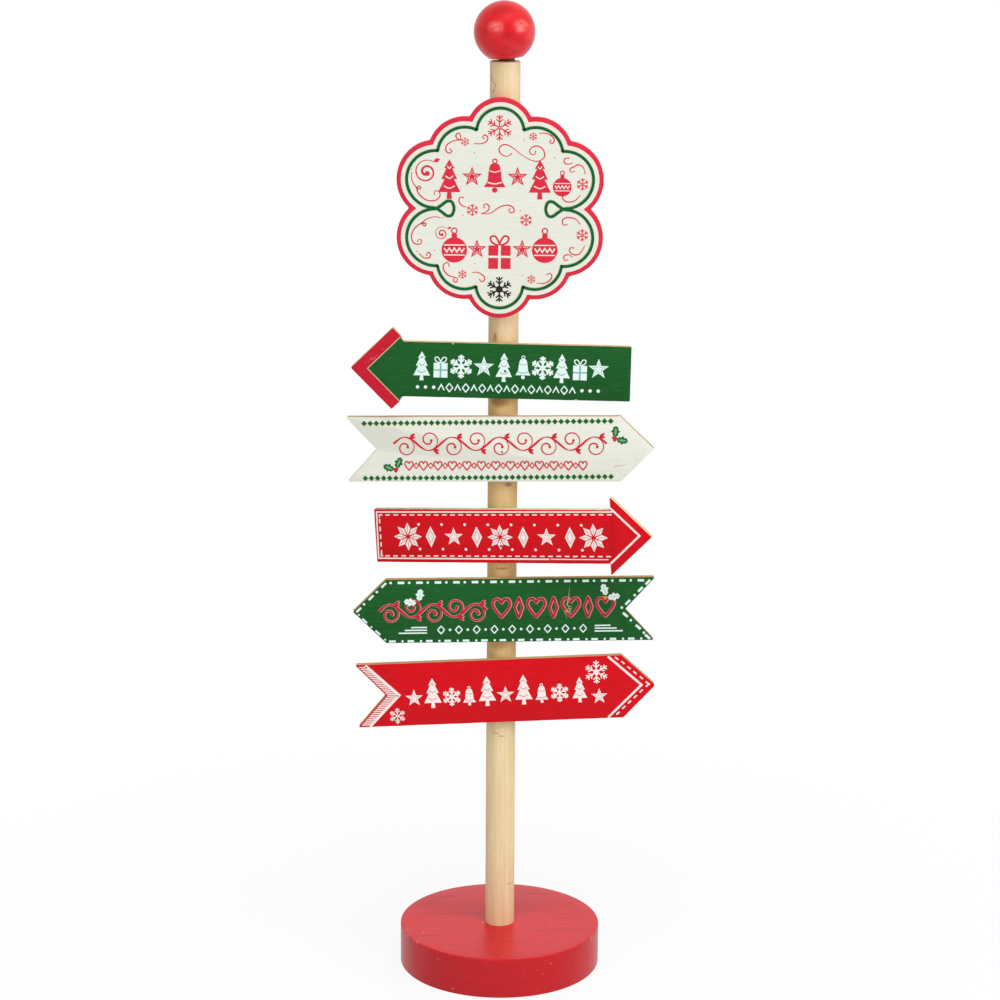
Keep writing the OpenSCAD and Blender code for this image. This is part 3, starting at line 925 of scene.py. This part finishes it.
def board(name, outline, finishes, replaces, seed, waver=0.15, tip=None):
    """A sawn board that replaces its solid. finishes are the front's, the edge's, the back's and the tip's.

    The front's paint goes over its eased edge. tip tells from x and y where the tip's paint does so instead.
    """
    stock = Stock(name)
    outline = sawn(np.asarray(outline), waver, seed)
    rings = board_rings(outline)
    tones = np.ones((len(rings) - 1, len(outline)), int)
    tones[-2:] = 0
    if tip is not None:
        tones[-2:] = np.where(tip(*outline.T), 3, 0)
    stock.add(rings, tones, (2, 0))
    stock.piece(name + "_dressed", SLOTS[name], finishes, replaces)
    return rings[-1, :, :2]


def plaque():
    """The lobed plaque: a red rim, a cream field, a looped line, snowflakes, scrolls and two friezes."""
    rim_width, line_inset = 2.75, 6.35
    board("plaque", lobed(0, WORN_R), [RIM_RED, RIM_RED, BACK_WOOD], "plaque", 11, 0.06)
    field, shade, line = Ink("plaque"), Ink("plaque", 2), Ink("plaque", 3)
    rose, black, cream = Ink("plaque", 2), Ink("plaque", 2), Ink("plaque", 3)
    field.fill(lobed(rim_width, CORNER_R))
    for run in looped_lines(line_inset):
        shade.stroke(run + (-0.25, 0.25), 1.95)
        line.stroke(run, 1.85)
    snowflake(rose, -3.2, 50.0, 8.0, 0.8, [(0.42, 0.36), (0.7, 0.32)])
    snowflake(black, -2.8, -50.3, 7.9, 0.95, [(0.44, 0.36), (0.72, 0.34)], 2.3)
    for x, y, size in ((-24.4, 41.3, 2.7), (17.4, 44.8, 2.6), (48.1, 15.5, 3.9), (48.3, -16.1, 3.9),
                       (-19.7, -0.9, 3.8), (13.5, -6.9, 3.9), (-25.7, -41.0, 2.8), (17.0, -43.9, 2.7)):
        snowflake(rose, x, y, size, 0.16 * size, [(0.55, 0.42)])
    for x, y in ((-57.1, 24.1), (-18.7, 34.8), (11.9, 42.4), (30.7, 31.8), (-25.6, -4.1), (9.8, -1.1),
                 (-38, -5.8), (-43.2, -26.1), (-54, -26.8), (-18.1, -34.3), (11.4, -41.7)):
        rose.disc(x, y, 0.4, 10)
    # Scrolls, each a pen line through its turning points, outer end first and curl last
    scrolls = [
        [(-27.2, 42.3), (-31.6, 41.8), (-35.4, 39.3), (-36.2, 36.1), (-34.2, 34.2), (-32.4, 35.4),
         (-33.6, 36.8)],
        [(-27.0, 42.3), (-27.2, 45.4), (-28.6, 46.6), (-30, 45.2), (-29.2, 43.1), (-27.2, 42.5)],
        [(-18.8, 40.3), (-14.7, 40.1), (-11.4, 41.5), (-10.4, 43.9), (-12, 45.5), (-13.6, 44.5),
         (-12.7, 43.2)],
        [(10.7, 33.2), (5, 37.7), (1.2, 39.6), (-1.8, 39.2), (-3.5, 36.9), (-2.3, 34), (1.3, 32.5),
         (4.1, 34.1)],
        [(10.7, 33.2), (16.3, 30.2), (21, 29.7), (24.4, 32.3), (23.8, 36.5), (20.5, 38.9), (17, 38.3),
         (15.3, 36), (16.3, 33.9), (18.5, 33.8), (18.8, 35.6)],
        [(20.9, 46.6), (24.6, 46.9), (28.4, 45.5), (30.4, 42.7), (29.3, 40.7), (27.7, 41.3), (28.2, 42.5)],
        [(41.9, 28.7), (38.5, 27.9), (36.6, 29.3), (37.2, 31.4), (39.4, 31.7)],
        [(49.8, 22), (48.4, 25.9), (45.5, 27.6), (42.6, 26.3), (40.2, 24.9), (40.9, 23), (42.8, 23.5)],
        [(46.9, 8.7), (43, 5.1), (38.3, 4.7), (35.9, 6.9), (36.6, 9.5), (38.8, 9.3)],
        [(47.1, -9.4), (43.6, -5.9), (38.9, -5.1), (36, -6.9), (36.6, -9.7), (38.7, -9.5)],
        [(49.9, -22.5), (47.2, -27.3), (43.4, -28.3), (40.7, -26.4), (41.1, -24), (43.2, -24)],
        [(42.7, -29.7), (39.6, -28.3), (37.2, -29.3), (37.4, -31.6), (39.4, -31.7)],
        [(20.3, -46.2), (24.6, -46.4), (27.9, -44.9), (29.8, -42.3), (28.7, -40), (26.9, -40.8)],
        [(-20, -40), (-16.3, -39.7), (-12.4, -42.1), (-12, -44.5), (-13.9, -45.6), (-15, -44.2)],
        [(-28.6, -43.4), (-31.4, -42.7), (-35.2, -41.1), (-37.6, -37.5), (-37, -34.6), (-34.9, -33.8),
         (-34, -35.7)],
        [(-28.6, -43.4), (-29.3, -45.8), (-31.2, -45.3), (-30.6, -43)],
        [(-52.8, -28), (-49.5, -30.8), (-46.2, -30.6), (-45.5, -28.4), (-47.1, -27.4), (-47.9, -29)],
        [(-39.3, -5.7), (-43.8, -5.2), (-48.5, -7), (-50.7, -9.4), (-49, -11), (-48.5, -9.3), (-51.4, -9.4),
         (-55.1, -12.2), (-57.3, -17), (-56.1, -21.3), (-52.6, -22.4), (-50.9, -20.4), (-52.4, -19.2),
         (-53.5, -20.5)],
        [(-57.3, 22.5), (-57, 17.6), (-54.2, 12.9), (-51.9, 12), (-52, 13.6), (-53.9, 12.8), (-52.8, 9.1),
         (-48.5, 5.4), (-42.9, 4.9), (-39.7, 7.8), (-40.5, 10.6), (-42.9, 10.8), (-43.2, 8.9)],
        [(-23.5, 1), (-25.9, 1.7), (-28, 4.4), (-27.3, 6.9), (-25.4, 6.9)],
        [(-14.5, -2.9), (-8.9, -2.9), (-3.2, 0.9), (1.5, 2.4), (5.3, 1), (6, -1.6), (3.9, -2.3), (2.6, -0.9),
         (3.5, 0)],
        [(-14.5, -2.9), (-10.8, -1.8), (-9.3, 0.9), (-10.8, 3), (-12.7, 2.3), (-12.4, 0.8)],
    ]
    for points in scrolls:
        pen(rose, points, 0.46, 0.78, 0.46)
    frieze(rose, cream, [fir_tree, star, bell, star, fir_tree], (-34.0, -20.0, -6.0, 8.0, 21.8),
           lambda x: 20.2 - 0.0025 * (x + 6) ** 2, (24.5, 15.5, 22.5, 15.5, 24.5))
    bauble(rose, cream, 35.6, 15.8, 17.5)
    frieze(rose, cream, [bauble, star, gift, star, bauble], (-30.8, -16.8, -2.8, 11.2, 25.2),
           lambda x: -26.0 + 0.004 * (x + 3) ** 2, (24.0, 15.0, 23.0, 15.0, 24.0))
    for x, y, size, start, side in ((-48.2, 22.6, 7.6, 55, 1), (-38.6, -15.6, 4.6, 40, 1)):
        scroll = curl(x, y, size, 0.16 * size, start, side * 610, 70)
        rose.stroke(scroll, np.linspace(0.08, 0.3, 70) * size * 0.75)
        rose.disc(*scroll[-1], 0.2 * size, 14)
        rose.fill(leaf_outline(scroll[0], scroll[0] + (0.55 * size, 0.25 * size), 0.3 * size, 1))
    field.printed("field_print", CREAM)
    shade.printed("line_shade_print", TAN_INK)
    line.printed("line_print", LINE_INK)
    rose.printed("rose_print", ROSE_INK)
    black.printed("black_print", BLACK_INK)
    cream.printed("cream_print", CREAM)


def green_arrow():
    """The green arrow: a crimson chevron head, a frieze of trees and parcels, and a row of small shapes."""
    arm_end, inner_point = -64.3, (-84.9, -0.1)

    def in_tip(x, y):
        """True on the chevron's side of the lines that part it from the shaft, at 45 degrees."""
        return (x < arm_end) & (x < inner_point[0] + np.abs(y - inner_point[1]))

    outline = mirrored(softened(chevron_arrow(95.5, 79.9), CORNER_R, SHOULDER_R))
    face = board("green_arrow", outline, [GREEN, TAN_EDGE, BACK_WOOD, TIP_INK], "green_arrow_board", 21,
                 tip=in_tip)
    tip, thin, white, inline, scar, speck = (Ink("green_arrow", layer) for layer in (1, 2, 1, 2, 1, 2))
    rim = face[in_tip(*face.T)]
    rim = np.roll(rim, -int(np.argmax(np.linalg.norm(rim - np.roll(rim, 1, 0), axis=1))), 0)
    tip.fill(np.vstack([rim, [inner_point]]))
    thin.corner([(-64.6, 20.4), inner_point, (-64.6, -20.4)], 0.6)
    row = [fir_tree, gift, flake, star, fir_tree, bell, flake, fir_tree, gift, star]
    places = (-51.0, -39.2, -26.4, -12.2, 0.4, 12.4, 24.6, 36.6, 48.0, 59.6)
    sizes = (18.5, 14.5, 17.0, 16.0, 18.5, 16.0, 17.0, 18.5, 14.5, 16.0)
    frieze(white, inline, row, places, lambda x: 2.6 + 0.004 * x, sizes)
    for x in (-53.4, -48.4, -43.3, 49.6, 54.7, 59.8):
        white.disc(x, -11.1, 1.1)
    for i, x in enumerate(np.linspace(-38.6, 43.6, 17)):
        if i % 2:
            diamond_line(white, x, -11.1, 2.1, 2.7, 0.75, 0.8)
        else:
            white.corner([(x - 1.9, -12.9), (x, -9.3), (x + 1.9, -12.9)], 0.8)
    for x, y, size in ((-83.2, 5.9, 0.3), (-82.3, 6.6, 0.25), (-81.6, 5.6, 0.3), (-80.4, 6.9, 0.35),
                       (-79.6, 6.2, 0.2), (-84.4, 4.6, 0.2), (-78.9, 8.4, 0.2), (-86.0, 3.4, 0.2),
                       (-75.4, 12.4, 0.25)):
        speck.disc(x, y, size, 8)
    scar.fill([(-32.6, 17.35), (-30.9, 17.35), (-31.4, 16.5), (-32.0, 16.2)])
    scar.fill([(44.6, -17.3), (47.8, -17.3), (46.9, -16.8), (45.4, -16.7)])
    tip.printed("tip_print", TIP_INK)
    thin.printed("line_print", TAN_INK)
    white.printed("white_print", WHITE_INK)
    inline.printed("inline_print", SHADE_INK)
    scar.printed("chips", SCRATCH)
    speck.printed("specks", BLUSH_INK)


def white_pennant():
    """The off-white pennant: green diamonds along both edges, a scroll, hearts and two holly sprigs."""
    outline = softened(pennant(96.3, 98.0), CORNER_R)
    board("white_pennant", outline, [CREAM, GREY_EDGE, BACK_WOOD], "white_pennant_board", 31)
    halo, green, vein, red, scar = (Ink("white_pennant", layer) for layer in (1, 2, 3, 2, 1))
    for left, right in (((-86.3, 16.8), (69.2, 18.1)), ((-86.5, -18.7), (69.1, -17.7))):
        for share in np.linspace(0, 1, 41):
            x, y = np.array(left) * (1 - share) + np.array(right) * share
            halo.fill(diamond(x, y, 2.15, 2.15))
            green.fill(diamond(x, y, 1.8, 1.8))
    vine(red, -68.0, 66.5, 3.6, 9, 8.0, 0.4, 1.35)
    for i, x in enumerate(np.linspace(-58.5, 51.5, 25)):
        if i % 2:
            diamond_line(red, x, -10.5, 1.5, 1.9, 0.65)
        else:
            red.stroke(resampled(heart_outline(x, -10.6, 5.8), 0.6), 0.8, closed=True)
    holly(green, vein, red, [((-68.3, -13.2), (-74.8, -10.4)), ((-66.6, -12.0), (-63.4, -5.2))],
          [(-67.7, -12.8), (-66.2, -12.8), (-67.0, -14.1)], 5.2, 1.0, 1.6)
    holly(green, vein, red, [((71.9, 7.8), (72.5, 15.0)), ((72.8, 6.2), (79.9, 5.0))],
          [(70.8, 7.3), (72.3, 7.0), (71.5, 5.8)], 5.2, 1.0, 1.6)
    scar.stroke(flow([(70.4, -12.2), (73, -10.8), (76, -10.6), (79.4, -9.6)]), swelling(25, 0.1, 0.45))
    scar.stroke(flow([(51.5, -20.3), (55, -19.2), (58.5, -18.2), (63, -17.8)]), swelling(25, 0.1, 0.5))
    halo.printed("halo_print", HALO_INK)
    green.printed("green_print", PINE_INK)
    vein.printed("vein_print", LEAF_INK)
    red.printed("red_print", SCRIPT_INK)
    scar.printed("scratches", BLUSH_INK)


def red_arrow():
    """The red arrow: a white frame with stitches, a chevron, and a frieze of knitting stars and lozenges."""
    outline = softened(plain_arrow(99.8, 80.1), CORNER_R)
    board("red_arrow", outline, [RED, PALE_EDGE, BACK_WOOD], "red_arrow_board", 41)
    white, inline = Ink("red_arrow"), Ink("red_arrow", 2)
    white.corner([(75.4, 16.3), (-78.4, 15.6), (-78.8, -14.9), (33.2, -14.7)], 0.95)
    white.corner([(34.2, -14.7), (71.6, -14.6)], 0.6)
    white.corner([(73.4, 19.3), (91.9, 1.0), (72.7, -17.3)], 1.3)
    for first, last, level in ((-71.1, 73.3, (13.7, 14.5)), (-72.8, 71.6, (-13.3, -12.6))):
        for x, y in zip(np.linspace(first, last, 28), np.linspace(*level, 28)):
            white.bar((x - 1.5, y), (x + 1.5, y), 0.8)
    for y in np.linspace(9.6, -10.9, 5):
        white.bar((-76.7, y - 1.5), (-76.7, y + 1.5), 0.8)
    white.corner([(-74.6, 13.7), (-76.7, 13.7), (-76.7, 12.0)], 0.8)
    white.corner([(-75.8, -13.3), (-77.0, -13.3), (-77.0, -12.2)], 0.8)
    row = [rosette, lozenge, star, lozenge, rosette, lozenge, star, lozenge, rosette]
    sizes = (20, 14, 15, 14, 18, 14, 15, 14, 20)
    frieze(white, inline, row, np.linspace(-58.5, 62.5, 9), lambda x: -0.5, sizes)
    for x in np.linspace(-51, 55, 8):
        white.disc(x, -8.6, 0.9, 12)
        white.disc(x, 7.6, 0.9, 12)
    white.printed("white_print", WARM_INK)
    inline.printed("inline_print", BLUSH_INK)


def green_pennant():
    """The green pennant: a border of dashes and dots, a scroll and hearts with pale edges, bars and holly."""
    outline = mirrored(softened(pennant(95.6, 97.5), CORNER_R))
    board("green_pennant", outline, [GREEN, BROWN_EDGE, BACK_WOOD], "green_pennant_board", 51)
    layers = (1, 1, 2, 3, 4, 4, 4, 5)
    white, pale, red, leaf, vein, berry, gold, scar = (Ink("green_pennant", layer) for layer in layers)

    def dash(x, y, slope=0.0, width=1.6):
        """One stitch of the border."""
        way = 2.1 * np.array([np.cos(np.radians(slope)), np.sin(np.radians(slope))])
        white.bar((x, y) - way, (x, y) + way, width)

    pitch, dot = 153.1 / 13, 0.85
    for i in range(14):
        dash(-65.0 + i * pitch, 19.0)
        white.disc(-65.0 + i * pitch - 6.5, 19.0, dot, 12)
        dash(-70.6 + i * pitch, -19.75, 0.0, 1.4)
        white.disc(-70.6 + i * pitch + 6.5, -19.75, 0.75, 12)
    slopes = ((45, 1.4, [(-75.9, 17.5), (-84.0, 9.4), (-91.9, 1.4)]),
              (-44.7, 1.1, [(-88.2, -5.8), (-79.8, -13.8)]),
              (46, 1.6, [(92.6, 17.7), (87.9, 13.0), (79.9, 4.5)]),
              (-42, 1.6, [(78.5, -3.8), (86.9, -12.1), (93.0, -18.6)]))
    for slope, width, places in slopes:
        for x, y in places:
            dash(x, y, slope, width)
    for x, y in ((-80.3, 13.1), (-88.5, 5.1), (84.3, 9.2), (76.2, 1.0), (82.1, -7.5), (90.6, -15.9)):
        white.disc(x, y, dot, 12)
    for x, y in ((-91.9, -1.9), (-83.9, -10.0), (-75.2, -18.5)):
        white.disc(x, y, 0.6, 12)
    for x, side in ((-48.5, -1), (58.9, 1)):
        for i in range(3):
            y = -10.7 - 1.85 * i
            white.bar((x, y), (x + side * (10.1 + 4.0 * i), y), 0.9)
    for ink, grow in ((pale, 0.55), (red, 0.0)):
        vine(ink, -79.0 + grow / 3, -10.5 + grow / 3, 0.3, 5, 7.8, 0.75, 1.7, grow)
        for i, x in enumerate(np.linspace(-1.0, 65.5, 7) + grow / 3):
            if i % 2:
                diamond_line(ink, x, 1.7, 2.5, 6.8, 1.45 + grow)
            else:
                ink.stroke(resampled(heart_outline(x, 1.7, 12.6), 0.7), 1.6 + grow, closed=True)
    for i, x in enumerate(np.linspace(-39.5, 51.5, 17)):
        if i % 2:
            white.disc(x, -12.5, 0.85, 12)
        else:
            diamond_line(white, x, -12.5, 2.2, 2.6, 0.75, 0.8)
    holly(leaf, vein, berry, [((-55.4, 5.3), (-63.2, 6.9)), ((-53.6, 7.0), (-52.4, 14.8))],
          [(-54.7, 5.8), (-53.4, 5.8), (-54.0, 4.8)], 5.2)
    holly(leaf, vein, gold, [((66.0, 9.4), (63.6, 16.9)), ((67.0, 7.6), (74.9, 9.1))],
          [(64.7, 8.2), (66.0, 8.2), (65.3, 7.2)], 5.2)
    scratches = [
        [(42.5, 15), (42.2, 12), (41.9, 8.1), (41.3, 5.5), (40.9, 3.3), (42.5, 2.2), (44.3, 2.6)],
        [(41.9, 8.1), (42.6, 6), (41.2, 4.2), (42.4, 1.2), (43.5, -0.8), (41.4, -1.4), (39.5, -1.2),
         (40.2, -3.6), (41, -6.5)],
        [(39.6, -1.6), (41.5, 0.2), (44.6, 1.2)],
    ]
    for points in scratches:
        pen(scar, points, 0.12, 0.42)
    white.printed("white_print", WHITE_INK)
    pale.printed("pale_print", BLUSH_INK)
    red.printed("red_print", DEEP_INK)
    leaf.printed("leaf_print", WHITE_INK)
    vein.printed("vein_print", SHADE_INK)
    berry.printed("berry_print", TIP_INK)
    gold.printed("gold_print", GOLD_INK)
    scar.printed("scratches", SCRATCH)


def red_pennant():
    """The red pennant: a hatched band at the tail, chevrons and stitches at the point, and a frieze."""
    radii = np.array([WORN_R, WORN_R, CORNER_R, WORN_R, CORNER_R, WORN_R])
    outline = softened(pennant(99.3, 93.1), radii)
    board("red_pennant", outline, [RED, OLIVE_EDGE, BACK_WOOD], "red_pennant_board", 61)
    white, inline, dark = Ink("red_pennant"), Ink("red_pennant", 2), Ink("red_pennant", 3)
    white.corner([(-86.2, 20.5), (-65.5, -0.2), (-85.2, -20.5)], 1.7)
    for y in np.arange(-19.4, 19.6, 1.25):
        edge = -74.1 - 19 * abs(y) / 21 + 1.3
        chevron = -65.5 - (20.7 if y > 0 else 19.7) * abs(y + 0.2) / 20.5
        white.fill([(edge, y - 0.36), (chevron, y - 0.36), (chevron, y + 0.36), (edge, y + 0.36)])
    white.corner([(69.3, 20.5), (90.3, 0.6), (68.3, -20.4)], 1.45)
    for x, y in ((74.9, 19.0), (78.8, 16.0), (82.6, 12.4), (86.3, 9.0), (90.3, 5.4)):
        white.bar((x - 1.0, y + 0.9), (x + 1.0, y - 0.9), 0.95)
    for x, y in ((90.0, -3.5), (86.1, -7.1), (82.3, -10.6), (78.4, -14.2), (74.6, -17.9)):
        white.bar((x - 1.0, y - 0.9), (x + 1.0, y + 0.9), 0.95)
    white.corner([(93.0, 2.7), (95.2, 0.9), (93.0, -0.7)], 0.95)
    snowflake(white, 61.6, 10.3, 7.8, 0.85, [(0.4, 0.36), (0.68, 0.3)], 2.0)
    snowflake(white, -67.3, -14.1, 5.4, 0.62, [(0.4, 0.38), (0.68, 0.3)])
    row = [star, fir_tree, flake, bell, fir_tree, star, fir_tree, bell, flake, fir_tree]
    sizes = (14, 20, 14, 14, 20, 14, 20, 14, 14, 17)
    places = (-56.0, -44.0, -31.8, -20.5, -9.0, 2.8, 14.5, 26.0, 37.6, 50.5)
    for motif, x, size in zip(row, places, sizes):
        motif(white, inline, x, -9.6 + size / 2, size)
    star(white, inline, 63.0, -6.0, 13)
    dark.disc(-0.9, -3.6, 0.5, 10)
    white.printed("white_print", WARM_INK)
    inline.printed("inline_print", BLUSH_INK)
    dark.printed("mark", BLACK_INK)


for make in (foot, post, ball, nails):
    make()
for make in (plaque, green_arrow, white_pennant, red_arrow, green_pennant, red_pennant):
    make()

# The pin and the screw keep their solids' shape
zinc_plate = drawn_steel("zinc_plated_screw", "C9C7BE", "A5A39B", 0.35)
for name, material in (("finial_pin", pin_wood()), ("foot_screw", zinc_plate)):
    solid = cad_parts[name]
    solid.data.materials.clear()
    solid.data.materials.append(material)


# Studio

def studio_floor():
    """A wide pale floor that camera and gloss see white, wholly so from half a metre off."""
    half = 4000.0
    mesh = bpy.data.meshes.new("studio_floor")
    corners = np.array([(-half, -half, 0), (half, -half, 0), (half, half, 0), (-half, half, 0)]) - (0, 0, 0.1)
    mesh.from_pydata((corners * MM).tolist(), [], [(0, 1, 2, 3)])
    floor = bpy.data.objects.new("studio_floor", mesh)
    bpy.context.scene.collection.objects.link(floor)
    material, tree, out = blank("white_studio_floor")
    place = node(tree, "ShaderNodeTexCoord").outputs["Object"]
    far = node(tree, "ShaderNodeVectorMath", {0: place}, operation="LENGTH")
    share = node(tree, "ShaderNodeMapRange", {0: far.outputs["Value"], 1: 0.12, 2: 0.5, 3: 0.87, 4: 1.0})
    share = node(tree, "ShaderNodeMath", {0: share.outputs[0], 1: white_rays(tree)}, operation="MULTIPLY")
    matt = node(tree, "ShaderNodeBsdfDiffuse", {"Color": (0.8, 0.8, 0.8, 1)})
    glow = node(tree, "ShaderNodeEmission", {"Color": (1, 1, 1, 1), "Strength": 1.0})
    both = node(tree, "ShaderNodeMixShader", {0: share.outputs[0], 1: matt.outputs[0], 2: glow.outputs[0]})
    tree.links.new(both.outputs[0], out.inputs[0])
    mesh.materials.append(material)


def white_rays(tree):
    """1 for rays from the camera, from gloss and through glass, which see the white background, or else 0."""
    path = node(tree, "ShaderNodeLightPath").outputs
    seen = path["Is Camera Ray"]
    for ray in ("Is Glossy Ray", "Is Transmission Ray"):
        seen = node(tree, "ShaderNodeMath", {0: seen, 1: path[ray]}, operation="MAXIMUM").outputs[0]
    return seen


def studio_world(fill):
    """White where it is seen, and a soft fill of that strength on the object."""
    world = bpy.data.worlds.new("studio")
    bpy.context.scene.world = world
    world.use_nodes = True
    tree = world.node_tree
    tree.nodes.clear()
    strength = node(tree, "ShaderNodeMapRange", {0: white_rays(tree), 1: 0.0, 2: 1.0, 3: fill, 4: 1.0})
    sky = node(tree, "ShaderNodeBackground", {"Color": (1, 1, 1, 1), "Strength": strength.outputs[0]})
    out = node(tree, "ShaderNodeOutputWorld")
    tree.links.new(sky.outputs[0], out.inputs[0])


def softbox(name, azimuth, elevation, distance, side, power, shines=True):
    """A square soft light that faces the post's middle, given by its direction from there.

    shines says whether gloss shows it.
    """
    aim = (0, 0, 0.32)
    turn, rise = np.radians(azimuth), np.radians(elevation)
    way = np.array([np.sin(turn) * np.cos(rise), -np.cos(turn) * np.cos(rise), np.sin(rise)])
    light = bpy.data.lights.new(name, "AREA")
    light.shape = "SQUARE"
    light.size = side
    light.energy = power
    lamp = bpy.data.objects.new(name, light)
    bpy.context.scene.collection.objects.link(lamp)
    lamp.location = (way * distance + aim).tolist()
    lamp.rotation_euler = Vector(way.tolist()).to_track_quat("Z", "Y").to_euler()
    lamp.visible_camera = False
    lamp.visible_glossy = shines


def camera():
    """The photograph's view: focal length and middle in pixels, place in millimetres, angles in degrees."""
    pixels, focal, middle = 1000, 2850.5, (502.7, 470.7)
    place, pitch, roll = (0.1, -1762.9, 753.2), 13.44, 0.39
    lens = bpy.data.cameras.new("camera")
    lens.sensor_width = 36.0
    lens.lens = focal / pixels * lens.sensor_width
    lens.shift_x = (500 - middle[0]) / pixels
    lens.shift_y = (middle[1] - 500) / pixels
    lens.clip_end = 20.0
    seen = bpy.data.objects.new("camera", lens)
    bpy.context.scene.collection.objects.link(seen)
    tilt = Matrix.Rotation(np.radians(90 - pitch), 4, "X") @ Matrix.Rotation(np.radians(roll), 4, "Z")
    seen.matrix_world = Matrix.Translation(Vector(place) * MM) @ tilt
    bpy.context.scene.camera = seen


studio_floor()
studio_world(0.3)
softbox("softbox_above", 6, 63, 4.5, 3.2, 145, shines=False)
softbox("softbox_left", -34, 23, 2.4, 0.8, 7)
softbox("softbox_behind", 165, 35, 2.4, 1.0, 11, shines=False)
softbox("softbox_right", 60, 20, 2.4, 1.0, 22)
camera()
bpy.context.scene.view_settings.view_transform = "Standard"
